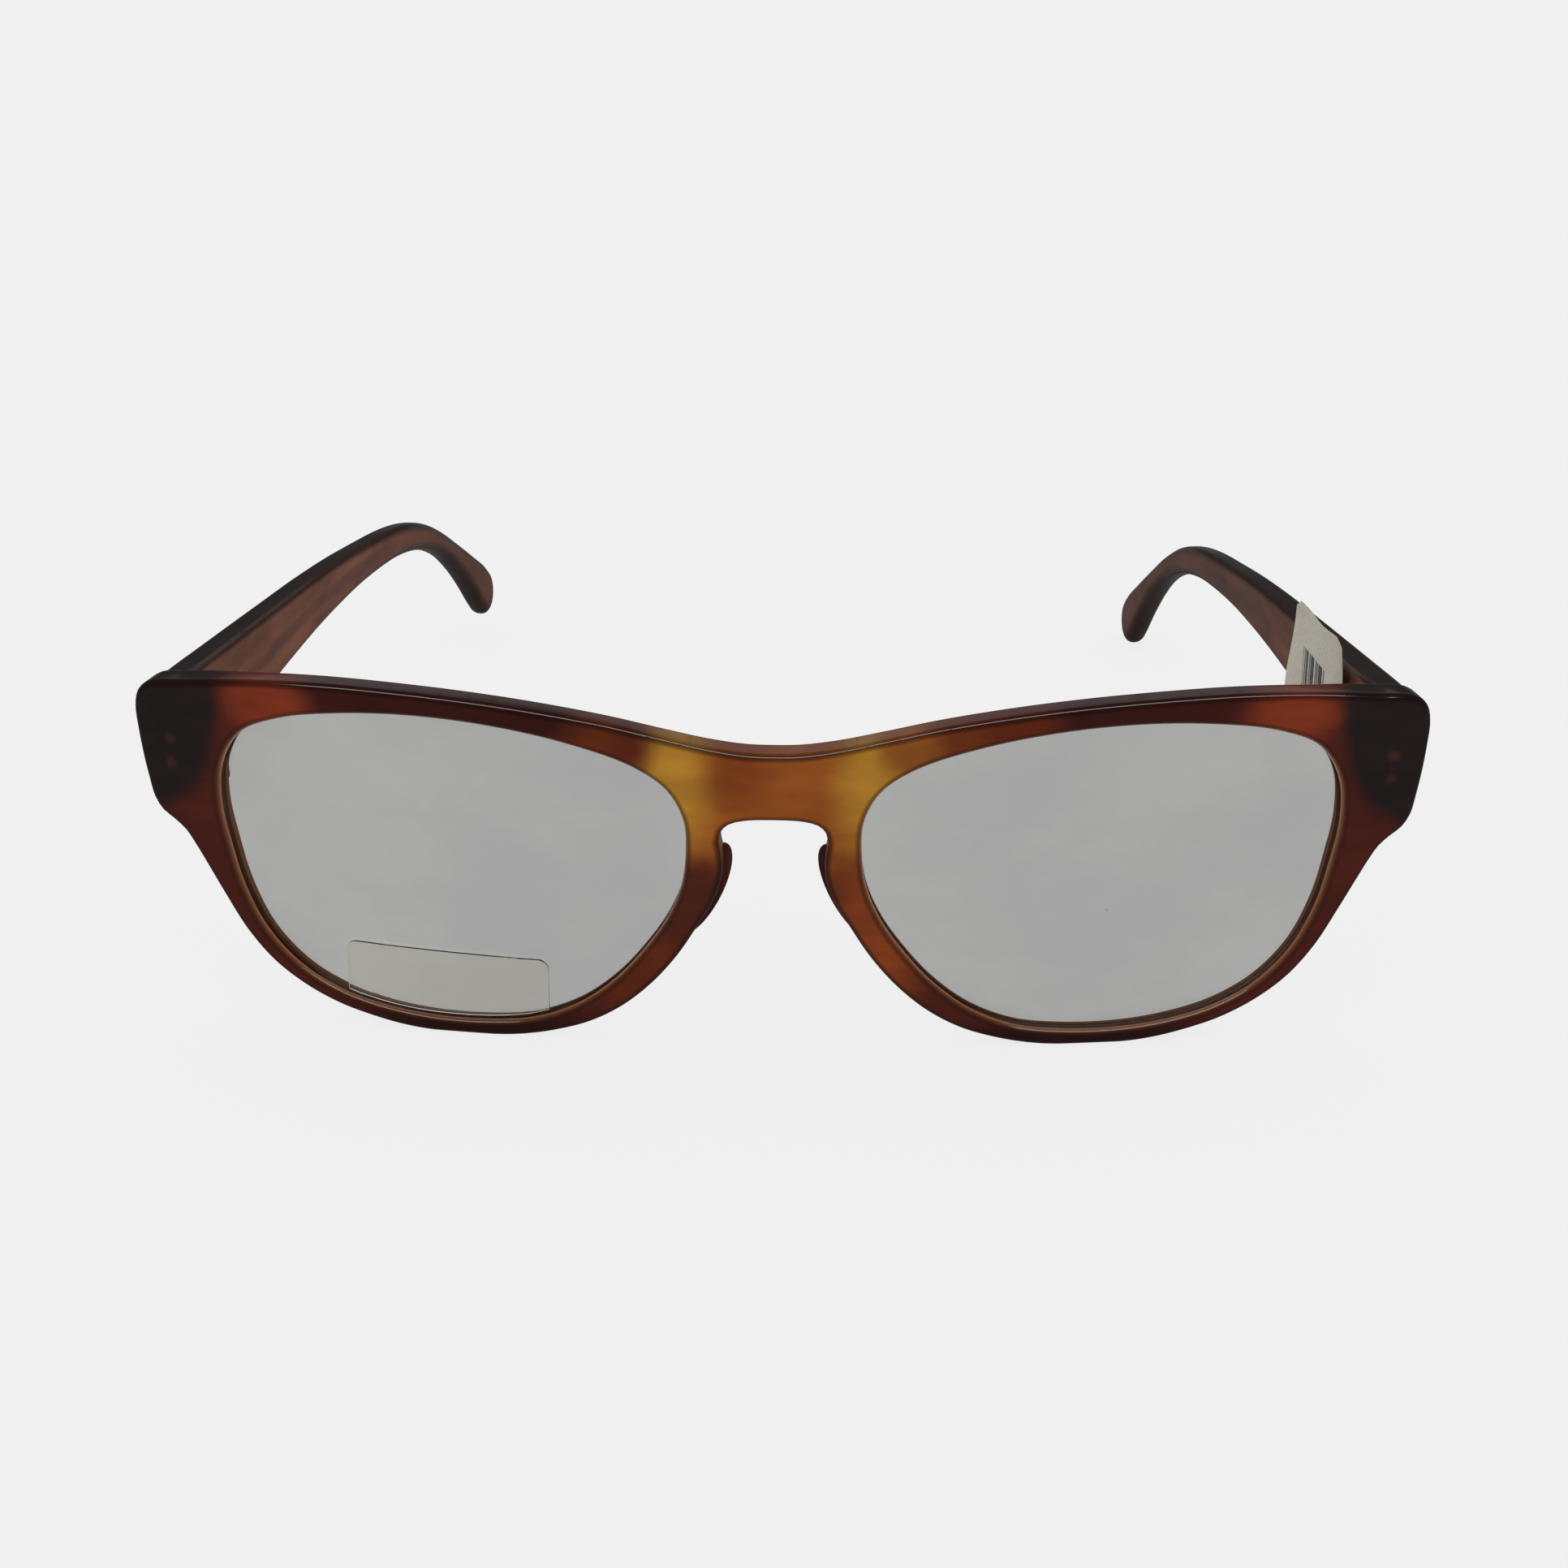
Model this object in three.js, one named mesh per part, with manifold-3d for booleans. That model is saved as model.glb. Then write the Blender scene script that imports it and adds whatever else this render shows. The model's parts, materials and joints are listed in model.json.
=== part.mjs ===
// Full-rim acetate spectacles with two folding temples.
// X runs across the face, Y runs back along the temples, Z is up, sizes in millimetres.
// The lens side and the temple side of every pair are named for the wearer, so left is +X.
import * as THREE from "three";
import { mergeVertices } from "three/addons/utils/BufferGeometryUtils.js";
import { TessellateModifier } from "three/addons/modifiers/TessellateModifier.js";
import Module from "manifold-3d";

const wasm = await Module();
wasm.setup();

// Front: an acetate sheet bent about a vertical axis behind the face.
const BEND_RADIUS = 300;
const RIM_THICKNESS = 3.6;
const BRIDGE_EXTRA = 0.5;
const BRIDGE_SPREAD = 9;
const ENDPIECE_THICKNESS = 4.4;
const ENDPIECE_START = 56;
const ENDPIECE_FULL = 65;
const EDGE_ROUND = 0.7;
const FOOT_FROM = 31.5;
const FOOT_TO = 38.3;
const LENS_CENTRE = 35.5;
const LENS_LEVEL = 20;

// Lens: a shallow spherical shell held in a groove of the rim.
const LENS_SPHERE = 150;
const LENS_THICKNESS = 1.2;
const LENS_SETBACK = -0.1;
const LENS_BITE = 0.5;
const FIT_GAP = 0.3;
const LENS_REACH = 31;
const APERTURE_SIDES = 64;
const LENS_RINGS = 5;
const LENS_SIDES = 28;

// Clear film stuck on the front of the right lens.
const FILM_WIDTH = 23;
const FILM_HEIGHT = 10;
const FILM_CORNER = 1.2;
const FILM_THICKNESS = 0.3;
const FILM_EDGE_GAP = 0.6;
const FILM_ACROSS = 1;
const FILM_LEVEL = 5.3;
const FILM_TILT = THREE.MathUtils.degToRad(2);

// Nose pads bonded on the back of the rims.
const PAD_CENTRE_S = 8;
const PAD_CENTRE_H = 17.2;
const PAD_HALF_WIDTH = 2.1;
const PAD_HALF_LENGTH = 6.2;
const PAD_RISE = 4.4;
const PAD_SUNK = 0.6;
const PAD_LEAN = THREE.MathUtils.degToRad(26);
const PAD_BASE = 4.35;

// Temple hinge: a five-knuckle barrel on a vertical axis inside the end-piece corner.
const HINGE_S = 64.4;
const AXIS_STAND_OFF = 1.7;
const BARREL_RADIUS = 1.4;
const BORE_RADIUS = 0.72;
const SCREW_RADIUS = 0.64;
const SCREW_HEAD_RADIUS = 1.2;
const SCREW_HEAD_HEIGHT = 0.8;
const SCREW_SLOT = 0.4;
const SCREW_SLOT_DEPTH = 0.35;
const SCREW_HEAD_LIFT = 0.15;
const SCREW_PAST_BARREL = 0.3;
const BARREL_BOTTOM = 26.4;
const BARREL_TOP = 36.4;
const KNUCKLES = 5;
const KNUCKLE_GAP = 0.3;
const LEAF_THICKNESS = 0.85;
const LEAF_CLEARANCE = 0.4;
const LEAF_TOP = 35.6;
const LEAF_BOTTOM = 27.2;
const TEMPLE_LEAF_FROM = 1.8;
const TEMPLE_LEAF_TO = 6.2;
const FRONT_LEAF_IN = -2.3;
const FRONT_LEAF_OUT = 4.0;
const LEAF_SUNK = 0.1;
const NECK_FROM = -1.3;
const NECK_TO = -0.3;
const PIN_RADIUS = 0.6;
const PIN_OUT = 2.8;
const PIN_LEVELS = [30.1, 32.8];
const PIN_TIP = 3.1;
const PIN_HOLE_SLACK = 0.15;
const CUT_OVER = 1;

// Temples: flat bars with a dropped ear end and a wire core.
const TEMPLE_ROOT_THICKNESS = 3.7;
const TEMPLE_END_THICKNESS = 3.2;
const TEMPLE_THIN_FROM = 60;
const TEMPLE_INNER_FACE = 1.75;
const TEMPLE_ROUND = 1.0;
const OPEN_TOE_IN = THREE.MathUtils.degToRad(6.45);
const LEFT_HELD_IN = THREE.MathUtils.degToRad(1.35);
const LEFT_SET = THREE.MathUtils.degToRad(-0.66);
const RIGHT_SET = THREE.MathUtils.degToRad(0.85);
const SET_LEVEL = 32;
const BUTT_GAP = 0.35;
const WIRE_RADIUS = 0.65;
const WIRE_GAP = 0.3;
const WIRE_END_ROOM = 2;
const WIRE_PATH = [
  [1.85, -1, 31.9],
  [1.85, 14, 31.9],
  [1.6, 40, 31.6],
  [1.6, 62, 29.9],
  [1.6, 76, 27.9],
];

// Paper label stuck flat on the inner face of the left temple, standing above its top edge.
const LABEL_PAPER = 0.5;
const LABEL_GAP = 0.35;

const ROD_SIDES = 28;
const BLANK = 20;

const acetateFront = new THREE.MeshStandardMaterial({ color: 0x4a1a10, roughness: 0.14, metalness: 0 });
const acetateTemple = new THREE.MeshStandardMaterial({ color: 0x3c211b, roughness: 0.2, metalness: 0 });
const acetatePad = new THREE.MeshStandardMaterial({ color: 0x8a4a1c, roughness: 0.18, metalness: 0 });
const lensPlastic = new THREE.MeshStandardMaterial({
  color: 0xb4b4b0,
  roughness: 0.05,
  metalness: 0,
  transparent: true,
  opacity: 0.35,
});
const filmPlastic = new THREE.MeshStandardMaterial({
  color: 0xdedee0,
  roughness: 0.2,
  metalness: 0,
  transparent: true,
  opacity: 0.4,
});
const hingeMetal = new THREE.MeshStandardMaterial({ color: 0xb8b4ac, roughness: 0.3, metalness: 1 });
const labelPaper = new THREE.MeshStandardMaterial({ color: 0xd6d2c8, roughness: 0.85, metalness: 0 });

// A closed geometry as a solid, turned the right way out when a mapping has mirrored it.
function solid(geometry) {
  const bare = geometry.clone();
  bare.deleteAttribute("normal");
  bare.deleteAttribute("uv");
  const merged = mergeVertices(bare, 1e-4);
  const vertProperties = new Float32Array(merged.attributes.position.array);
  const triVerts = new Uint32Array(merged.index.array);
  const made = new wasm.Manifold(new wasm.Mesh({ numProp: 3, vertProperties, triVerts }));
  if (made.volume() > 0) {
    return made;
  }
  const turned = triVerts.map((_, i) => triVerts[i - (i % 3) + ((3 - (i % 3)) % 3)]);
  return new wasm.Manifold(new wasm.Mesh({ numProp: 3, vertProperties, triVerts: turned }));
}

// A solid back as a geometry.
function geometryOf(body) {
  const m = body.getMesh();
  const positions = new Float32Array(m.numVert * 3);
  for (let i = 0; i < m.numVert; i++) {
    positions.set(m.vertProperties.subarray(i * m.numProp, i * m.numProp + 3), i * 3);
  }
  const geometry = new THREE.BufferGeometry();
  geometry.setAttribute("position", new THREE.BufferAttribute(positions, 3));
  geometry.setIndex(new THREE.BufferAttribute(new Uint32Array(m.triVerts), 1));
  geometry.computeVertexNormals();
  return geometry;
}

function piece(name, body, material) {
  const mesh = new THREE.Mesh(geometryOf(body), material);
  mesh.name = name;
  return mesh;
}

// Every vertex moved by a function of its position.
function warped(geometry, move) {
  const out = geometry.index ? geometry.toNonIndexed() : geometry.clone();
  const position = out.attributes.position;
  const v = new THREE.Vector3();
  for (let i = 0; i < position.count; i++) {
    v.fromBufferAttribute(position, i);
    move(v);
    position.setXYZ(i, v.x, v.y, v.z);
  }
  return out;
}

// Long edges cut down so that a bent sheet follows its curve.
function fine(geometry, longest) {
  const plain = geometry.index ? geometry.toNonIndexed() : geometry;
  return new TessellateModifier(longest, 12).modify(plain);
}

// Points of a curve through a few given ones, each span cut into the same number of steps.
function through(points, steps, closed = false) {
  const curve = new THREE.CatmullRomCurve3(
    points.map(([x, y]) => new THREE.Vector3(x, y, 0)),
    closed,
    "centripetal",
  );
  const spans = closed ? points.length : points.length - 1;
  const list = curve.getPoints(spans * steps);
  if (closed) {
    list.pop();
  }
  return list.map((p) => new THREE.Vector2(p.x, p.y));
}

// A closed outline moved outwards along its own normals.
function grown(points, distance) {
  const turn = THREE.ShapeUtils.isClockWise(points) ? -1 : 1;
  return points.map((p, i) => {
    const before = points[(i + points.length - 1) % points.length];
    const after = points[(i + 1) % points.length];
    const along = new THREE.Vector2().subVectors(after, before).normalize();
    return new THREE.Vector2(p.x + turn * along.y * distance, p.y - turn * along.x * distance);
  });
}

// A sheet with rounded edges, from its outline, from z = 0 to its thickness.
function roundedSheet(outline, holes, thickness, round) {
  const shape = new THREE.Shape(outline);
  shape.holes = holes.map((hole) => new THREE.Path(hole));
  const geometry = new THREE.ExtrudeGeometry(shape, {
    depth: thickness - 2 * round,
    bevelEnabled: true,
    bevelThickness: round,
    bevelSize: round,
    bevelOffset: -round,
    bevelSegments: 2,
    curveSegments: 1,
  });
  return geometry.translate(0, 0, round);
}

// Thickness of the front at a distance s along its curve.
function frontThickness(s) {
  const bridge = BRIDGE_EXTRA * Math.exp(-((s / BRIDGE_SPREAD) ** 2));
  const rise = THREE.MathUtils.smoothstep(Math.abs(s), ENDPIECE_START, ENDPIECE_FULL);
  return RIM_THICKNESS + bridge + rise * (ENDPIECE_THICKNESS - RIM_THICKNESS);
}

// From flat sheet coordinates (along, height, depth) to the bent front.
function bend(v) {
  const radius = BEND_RADIUS - v.z;
  const angle = v.x / BEND_RADIUS;
  v.set(radius * Math.sin(angle), BEND_RADIUS - radius * Math.cos(angle), v.y);
}

function mirroredX(geometry) {
  return geometry.clone().scale(-1, 1, 1);
}

// Lens opening of the left rim: near-flat brow, deep rounded lower edge.
function apertureOutline() {
  const control = [
    [9.5, 23.5],
    [10.0, 19.5],
    [11.5, 15.7],
    [13.9, 12.0],
    [17.4, 7.9],
    [21.6, 4.6],
    [26.6, 2.5],
    [32, 1.8],
    [38, 1.8],
    [43.5, 2.5],
    [48.8, 4.0],
    [53.4, 6.6],
    [57.2, 10.7],
    [59.6, 15.7],
    [60.8, 20.5],
    [61.6, 25.5],
    [61.1, 30.5],
    [58.6, 34.3],
    [54, 36.3],
    [48, 37.3],
    [40, 37.7],
    [31, 37.1],
    [22, 35.4],
    [15, 33],
    [11.4, 30.4],
    [9.7, 27],
  ];
  const curve = new THREE.CatmullRomCurve3(
    control.map(([s, h]) => new THREE.Vector3(s, h, 0)),
    true,
    "centripetal",
  );
  const list = curve.getSpacedPoints(APERTURE_SIDES);
  list.pop();
  return list.map((p) => new THREE.Vector2(p.x, p.y));
}

// Outside edge of the left half of the front, from the underside of the bridge round to its top.
function halfOutline() {
  const nose = [
    [0, 27.2],
    [3.2, 27.05],
    [4.8, 26.6],
    [5.6, 25.8],
    [5.85, 24.8],
    [5.65, 23.5],
    [5.5, 21.9],
    [5.75, 19.9],
    [6.6, 17.5],
    [8.1, 14.9],
    [10.6, 10.9],
    [13.5, 7.4],
    [16.8, 4.5],
    [20.4, 2.4],
    [24.2, 1.1],
    [28, 0.3],
    [FOOT_FROM, 0],
  ];
  const side = [
    [FOOT_TO, 0],
    [42, 0.4],
    [45.6, 1.2],
    [49.4, 2.4],
    [53.2, 4.3],
    [56.8, 7.0],
    [59.8, 10.6],
    [62.3, 15.0],
    [64.0, 18.2],
    [65.2, 20.4],
    [66.2, 22.0],
    [67.4, 23.1],
    [68.7, 24.1],
    [69.6, 25.6],
    [70.1, 28.0],
    [70.5, 30.6],
    [70.8, 33.6],
    [70.9, 36.4],
    [70.4, 38.2],
    [69.0, 39.3],
  ];
  const brow = [
    [69.0, 39.3],
    [65, 39.8],
    [60, 40.3],
    [55, 40.6],
    [49, 40.7],
    [42, 40.5],
    [34, 40.0],
    [26, 39.15],
    [18, 37.9],
    [12, 36.6],
    [7, 35.5],
    [3, 34.9],
    [0, 34.8],
  ];
  return [...through(nose, 2), ...through(side, 2).slice(0, -1), ...through(brow, 1)];
}

// The whole outside edge: the left half and its mirror image.
function frontOutline() {
  const half = halfOutline();
  const other = half
    .slice(1, -1)
    .reverse()
    .map((p) => new THREE.Vector2(-p.x, p.y));
  return [...half, ...other];
}

// The sphere shell of a lens, on its own axis (z), front surface bulging towards -z.
function lensShell(front, back) {
  const profile = [];
  const fall = (r) => (r * r) / (2 * LENS_SPHERE);
  for (let i = 0; i <= LENS_RINGS; i++) {
    const r = (LENS_REACH * i) / LENS_RINGS;
    profile.push(new THREE.Vector2(r, fall(r) + front));
  }
  for (let i = LENS_RINGS; i >= 0; i--) {
    const r = (LENS_REACH * i) / LENS_RINGS;
    profile.push(new THREE.Vector2(r, fall(r) + back));
  }
  return new THREE.LatheGeometry(profile, LENS_SIDES).rotateX(Math.PI / 2);
}

// A lens-shaped block cut from the shell: the opening's outline grown by the bite in the groove.
function lensBlock(bite, slack) {
  const outline = grown(apertureOutline(), bite).map(
    (p) => new THREE.Vector2(p.x - LENS_CENTRE, p.y - LENS_LEVEL),
  );
  const prism = new THREE.ExtrudeGeometry(new THREE.Shape(outline), { depth: BLANK, bevelEnabled: false });
  const shell = lensShell(LENS_SETBACK - slack, LENS_SETBACK + LENS_THICKNESS + slack);
  return solid(prism.translate(0, 0, -BLANK / 2)).intersect(solid(shell));
}

// A piece made on the lens axis, carried to its place in the bent front.
function atLens(body) {
  const geometry = geometryOf(body);
  const turn = LENS_CENTRE / BEND_RADIUS;
  return geometry
    .rotateX(Math.PI / 2)
    .scale(1, -1, 1)
    .rotateZ(turn)
    .translate(BEND_RADIUS * Math.sin(turn), BEND_RADIUS * (1 - Math.cos(turn)), LENS_LEVEL);
}

// Clear film: a rounded rectangle lying just in front of the lens surface, trimmed along the rim.
function filmBlock() {
  const w = FILM_WIDTH / 2 - FILM_CORNER;
  const h = FILM_HEIGHT / 2 - FILM_CORNER;
  const shape = new THREE.Shape();
  shape.absarc(w, h, FILM_CORNER, 0, Math.PI / 2);
  shape.absarc(-w, h, FILM_CORNER, Math.PI / 2, Math.PI);
  shape.absarc(-w, -h, FILM_CORNER, Math.PI, 1.5 * Math.PI);
  shape.absarc(w, -h, FILM_CORNER, 1.5 * Math.PI, 2 * Math.PI);
  const prism = new THREE.ExtrudeGeometry(shape, { depth: BLANK, bevelEnabled: false, curveSegments: 5 })
    .rotateZ(FILM_TILT)
    .translate(FILM_ACROSS, FILM_LEVEL - LENS_LEVEL, -BLANK / 2);
  const trim = grown(apertureOutline(), -FILM_EDGE_GAP).map(
    (p) => new THREE.Vector2(p.x - LENS_CENTRE, p.y - LENS_LEVEL),
  );
  const inside = new THREE.ExtrudeGeometry(new THREE.Shape(trim), { depth: BLANK, bevelEnabled: false });
  const back = LENS_SETBACK - FIT_GAP;
  return solid(prism)
    .intersect(solid(inside.translate(0, 0, -BLANK / 2)))
    .intersect(solid(lensShell(back - FILM_THICKNESS, back)));
}

// The hinge corner: the end-piece's rear face at the hinge, with u outwards along the face.
const cornerTurn = HINGE_S / BEND_RADIUS;
const cornerPoint = new THREE.Vector3(HINGE_S, 0, ENDPIECE_THICKNESS);
bend(cornerPoint);
const hingeX = cornerPoint.x - AXIS_STAND_OFF * Math.sin(cornerTurn);
const hingeY = cornerPoint.y + AXIS_STAND_OFF * Math.cos(cornerTurn);

// A piece made about the hinge axis and square to the rear face, set in place on the left side.
function atCorner(geometry) {
  return geometry.rotateZ(cornerTurn).translate(hingeX, hingeY, 0);
}

function box(x0, x1, y0, y1, z0, z1) {
  return new THREE.BoxGeometry(x1 - x0, y1 - y0, z1 - z0).translate(
    (x0 + x1) / 2,
    (y0 + y1) / 2,
    (z0 + z1) / 2,
  );
}

function uprightRod(radius, z0, z1) {
  return new THREE.CylinderGeometry(radius, radius, z1 - z0, ROD_SIDES)
    .rotateX(Math.PI / 2)
    .translate(0, 0, (z0 + z1) / 2);
}

const knuckleHeight = (BARREL_TOP - BARREL_BOTTOM - (KNUCKLES - 1) * KNUCKLE_GAP) / KNUCKLES;

// One knuckle of the barrel, as its bottom and top level.
function knuckleSpan(i) {
  const bottom = BARREL_BOTTOM + i * (knuckleHeight + KNUCKLE_GAP);
  return [bottom, bottom + knuckleHeight];
}

// The screw hole down the whole barrel.
function barrelBore() {
  return uprightRod(BORE_RADIUS, BARREL_BOTTOM - CUT_OVER, BARREL_TOP + CUT_OVER);
}

// Front leaf: a plate sunk in the rear face, three knuckles, two anchor holes.
function frontLeaf() {
  const face = -AXIS_STAND_OFF;
  const plateBack = face - LEAF_SUNK;
  const plateFront = plateBack - LEAF_THICKNESS;
  let leaf = solid(box(FRONT_LEAF_IN, FRONT_LEAF_OUT, plateFront, plateBack, LEAF_BOTTOM, LEAF_TOP));
  for (let i = 0; i < KNUCKLES; i += 2) {
    const [bottom, top] = knuckleSpan(i);
    leaf = leaf.add(solid(uprightRod(BARREL_RADIUS, bottom, top)));
    leaf = leaf.add(solid(box(NECK_FROM, NECK_TO, plateFront, 0, bottom, top)));
  }
  leaf = leaf.subtract(solid(barrelBore()));
  for (const level of PIN_LEVELS) {
    const hole = anchorPin(level, PIN_RADIUS + PIN_HOLE_SLACK, plateBack + CUT_OVER, plateFront - CUT_OVER);
    leaf = leaf.subtract(solid(hole));
  }
  return leaf;
}

// A rod square to the rear face, at the anchor position.
function anchorPin(level, radius, from, to) {
  return new THREE.CylinderGeometry(radius, radius, from - to, 12).translate(
    PIN_OUT,
    (from + to) / 2,
    level,
  );
}

// The room cut in the end-piece for the leaf and its anchor pins.
function leafPocket() {
  const face = -AXIS_STAND_OFF;
  const bottom = face - LEAF_SUNK - LEAF_THICKNESS - FIT_GAP;
  const open = face + BARREL_RADIUS + FIT_GAP;
  let pocket = solid(
    box(
      FRONT_LEAF_IN - FIT_GAP,
      FRONT_LEAF_OUT + FIT_GAP,
      bottom,
      open,
      LEAF_BOTTOM - FIT_GAP,
      LEAF_TOP + FIT_GAP,
    ),
  );
  const [lowest] = knuckleSpan(0);
  const [, highest] = knuckleSpan(KNUCKLES - 1);
  pocket = pocket.add(
    solid(box(NECK_FROM - FIT_GAP, NECK_TO + FIT_GAP, bottom, open, lowest - FIT_GAP, highest + FIT_GAP)),
  );
  for (const level of PIN_LEVELS) {
    pocket = pocket.add(solid(anchorPin(level, PIN_RADIUS + FIT_GAP, face, face - PIN_TIP - FIT_GAP)));
  }
  return pocket;
}

// Temple leaf: a plate on the inner face of the temple and two knuckles.
function templeLeaf() {
  const outer = TEMPLE_INNER_FACE - LEAF_CLEARANCE;
  const inner = outer - LEAF_THICKNESS;
  let leaf = solid(box(inner, outer, TEMPLE_LEAF_FROM, TEMPLE_LEAF_TO, LEAF_BOTTOM, LEAF_TOP));
  for (let i = 1; i < KNUCKLES; i += 2) {
    const [bottom, top] = knuckleSpan(i);
    leaf = leaf.add(solid(uprightRod(BARREL_RADIUS, bottom, top)));
    leaf = leaf.add(solid(box(inner, outer, 0, TEMPLE_LEAF_FROM + 0.5, bottom, top)));
  }
  return leaf.subtract(solid(barrelBore()));
}

// Slotted hinge screw, head up.
function hingeScrew() {
  const headBase = BARREL_TOP + SCREW_HEAD_LIFT;
  const slotBase = headBase + SCREW_HEAD_HEIGHT - SCREW_SLOT_DEPTH;
  const shank = solid(uprightRod(SCREW_RADIUS, BARREL_BOTTOM - SCREW_PAST_BARREL, slotBase));
  const head = solid(uprightRod(SCREW_HEAD_RADIUS, headBase, headBase + SCREW_HEAD_HEIGHT));
  const slot = solid(
    box(-BLANK, BLANK, -SCREW_SLOT / 2, SCREW_SLOT / 2, slotBase, slotBase + CUT_OVER),
  );
  return shank.add(head).subtract(slot);
}

// Turns a side view (distance back, level, depth outwards) to stand along the temple.
const sideways = new THREE.Matrix4().makeBasis(
  new THREE.Vector3(0, 1, 0),
  new THREE.Vector3(0, 0, 1),
  new THREE.Vector3(1, 0, 0),
);

// Side view of a temple: top edge, rounded ear end, lower edge, as distance behind the hinge axis and level.
function templeOutline() {
  const top = [
    [-5, 39.1],
    [2.5, 38.5],
    [10, 37.8],
    [20, 36.9],
    [30, 36.0],
    [42, 34.9],
    [54, 33.5],
    [65, 31.9],
    [75, 30.3],
    [84, 28.3],
    [91, 26.0],
    [99, 22.3],
    [107, 17.8],
    [115, 13.1],
    [121.5, 9.1],
  ];
  const end = [
    [121.5, 9.1],
    [124.1, 6.6],
    [124.4, 3.9],
    [122.9, 1.9],
    [120.6, 1.5],
    [118.2, 3.2],
  ];
  const low = [
    [118.2, 3.2],
    [113, 8.0],
    [107, 13.0],
    [101, 17.2],
    [96, 19.9],
    [91, 22.0],
    [85, 23.9],
    [78, 25.5],
    [70, 26.7],
    [60, 27.7],
    [51, 28.1],
    [42, 28.2],
    [30, 27.9],
    [20, 27.4],
    [10, 26.5],
    [3, 25.7],
    [-5, 24.9],
  ];
  return [...through(top, 1).slice(0, -1), ...through(end, 2).slice(0, -1), ...through(low, 1)];
}

// The bar of a temple about the hinge axis: inner face flat, thinning towards the ear.
function templeBar() {
  const sheet = fine(roundedSheet(templeOutline(), [], TEMPLE_ROOT_THICKNESS, TEMPLE_ROUND), 14);
  const bar = warped(sheet, (v) => {
    const thin = THREE.MathUtils.smoothstep(v.x, 0, TEMPLE_THIN_FROM);
    const share = THREE.MathUtils.lerp(1, TEMPLE_END_THICKNESS / TEMPLE_ROOT_THICKNESS, thin);
    v.set(TEMPLE_INNER_FACE + v.z * share, v.x, v.y);
  });
  const face = -AXIS_STAND_OFF + BUTT_GAP;
  const butt = box(-BLANK, BLANK, face - BLANK, face, 0, 3 * BLANK).rotateZ(cornerTurn - OPEN_TOE_IN);
  return solid(bar).subtract(solid(butt)).subtract(solid(coreRod(WIRE_RADIUS + WIRE_GAP, WIRE_END_ROOM)));
}

// The stiffening wire, a round rod along the middle of the temple, its ends run on by a length.
function coreRod(radius, over) {
  const points = WIRE_PATH.map(([across, back, level]) => {
    return new THREE.Vector3(TEMPLE_INNER_FACE + across, back, level);
  });
  points[0].y -= over;
  points[points.length - 1].y += over * 0.4;
  const path = new THREE.CatmullRomCurve3(points);
  const ring = new THREE.Shape();
  ring.absarc(0, 0, radius, 0, 2 * Math.PI);
  return new THREE.ExtrudeGeometry(ring, {
    steps: 10,
    extrudePath: path,
    curveSegments: 8,
    bevelEnabled: false,
  });
}

// Paper label: a doubled slip with one worn corner, as distance behind the hinge axis and level.
function paperLabel() {
  const outline = new THREE.Shape(
    [
      [6.6, 26.2],
      [30.1, 27.2],
      [29.6, 30],
      [26.4, 39.1],
      [24.8, 40.1],
      [14.8, 40.3],
      [10.4, 40.6],
      [8.4, 40],
      [7.9, 37.2],
    ].map(([u, z]) => new THREE.Vector2(u, z)),
  );
  return new THREE.ExtrudeGeometry(outline, { depth: LABEL_PAPER, bevelEnabled: false })
    .applyMatrix4(sideways)
    .translate(TEMPLE_INNER_FACE - LABEL_GAP - LABEL_PAPER, 0, 0);
}

// Nose pad: half an egg lying along the nasal edge, its flat side against the rim's back.
function nosePad() {
  const egg = new THREE.SphereGeometry(1, 20, 12)
    .scale(PAD_HALF_WIDTH, PAD_HALF_LENGTH, PAD_RISE)
    .rotateZ(PAD_LEAN)
    .translate(PAD_CENTRE_S, PAD_CENTRE_H, PAD_BASE - PAD_SUNK);
  const behind = box(PAD_CENTRE_S - BLANK, PAD_CENTRE_S + BLANK, 0, 2 * BLANK, PAD_BASE, PAD_BASE + BLANK);
  const pad = solid(egg).intersect(solid(behind));
  return warped(geometryOf(pad), bend);
}

// The acetate front: bent sheet, less the lens grooves and the hinge rooms.
function frontBody() {
  const left = apertureOutline();
  const right = left.map((p) => new THREE.Vector2(-p.x, p.y)).reverse();
  const sheet = fine(roundedSheet(frontOutline(), [left, right], RIM_THICKNESS, EDGE_ROUND), 12);
  const bent = warped(sheet, (v) => {
    v.z *= frontThickness(v.x) / RIM_THICKNESS;
    bend(v);
  });
  const groove = atLens(lensBlock(LENS_BITE + FIT_GAP, FIT_GAP));
  const room = atCorner(geometryOf(leafPocket()));
  return solid(bent)
    .subtract(solid(groove))
    .subtract(solid(mirroredX(groove)))
    .subtract(solid(room))
    .subtract(solid(mirroredX(room)));
}

// The acetate of a temple tips up or down a little from its leaf, as worn spectacles do.
function tipped(geometry, set) {
  return geometry.translate(0, 0, -SET_LEVEL).rotateX(set).translate(0, 0, SET_LEVEL);
}

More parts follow.
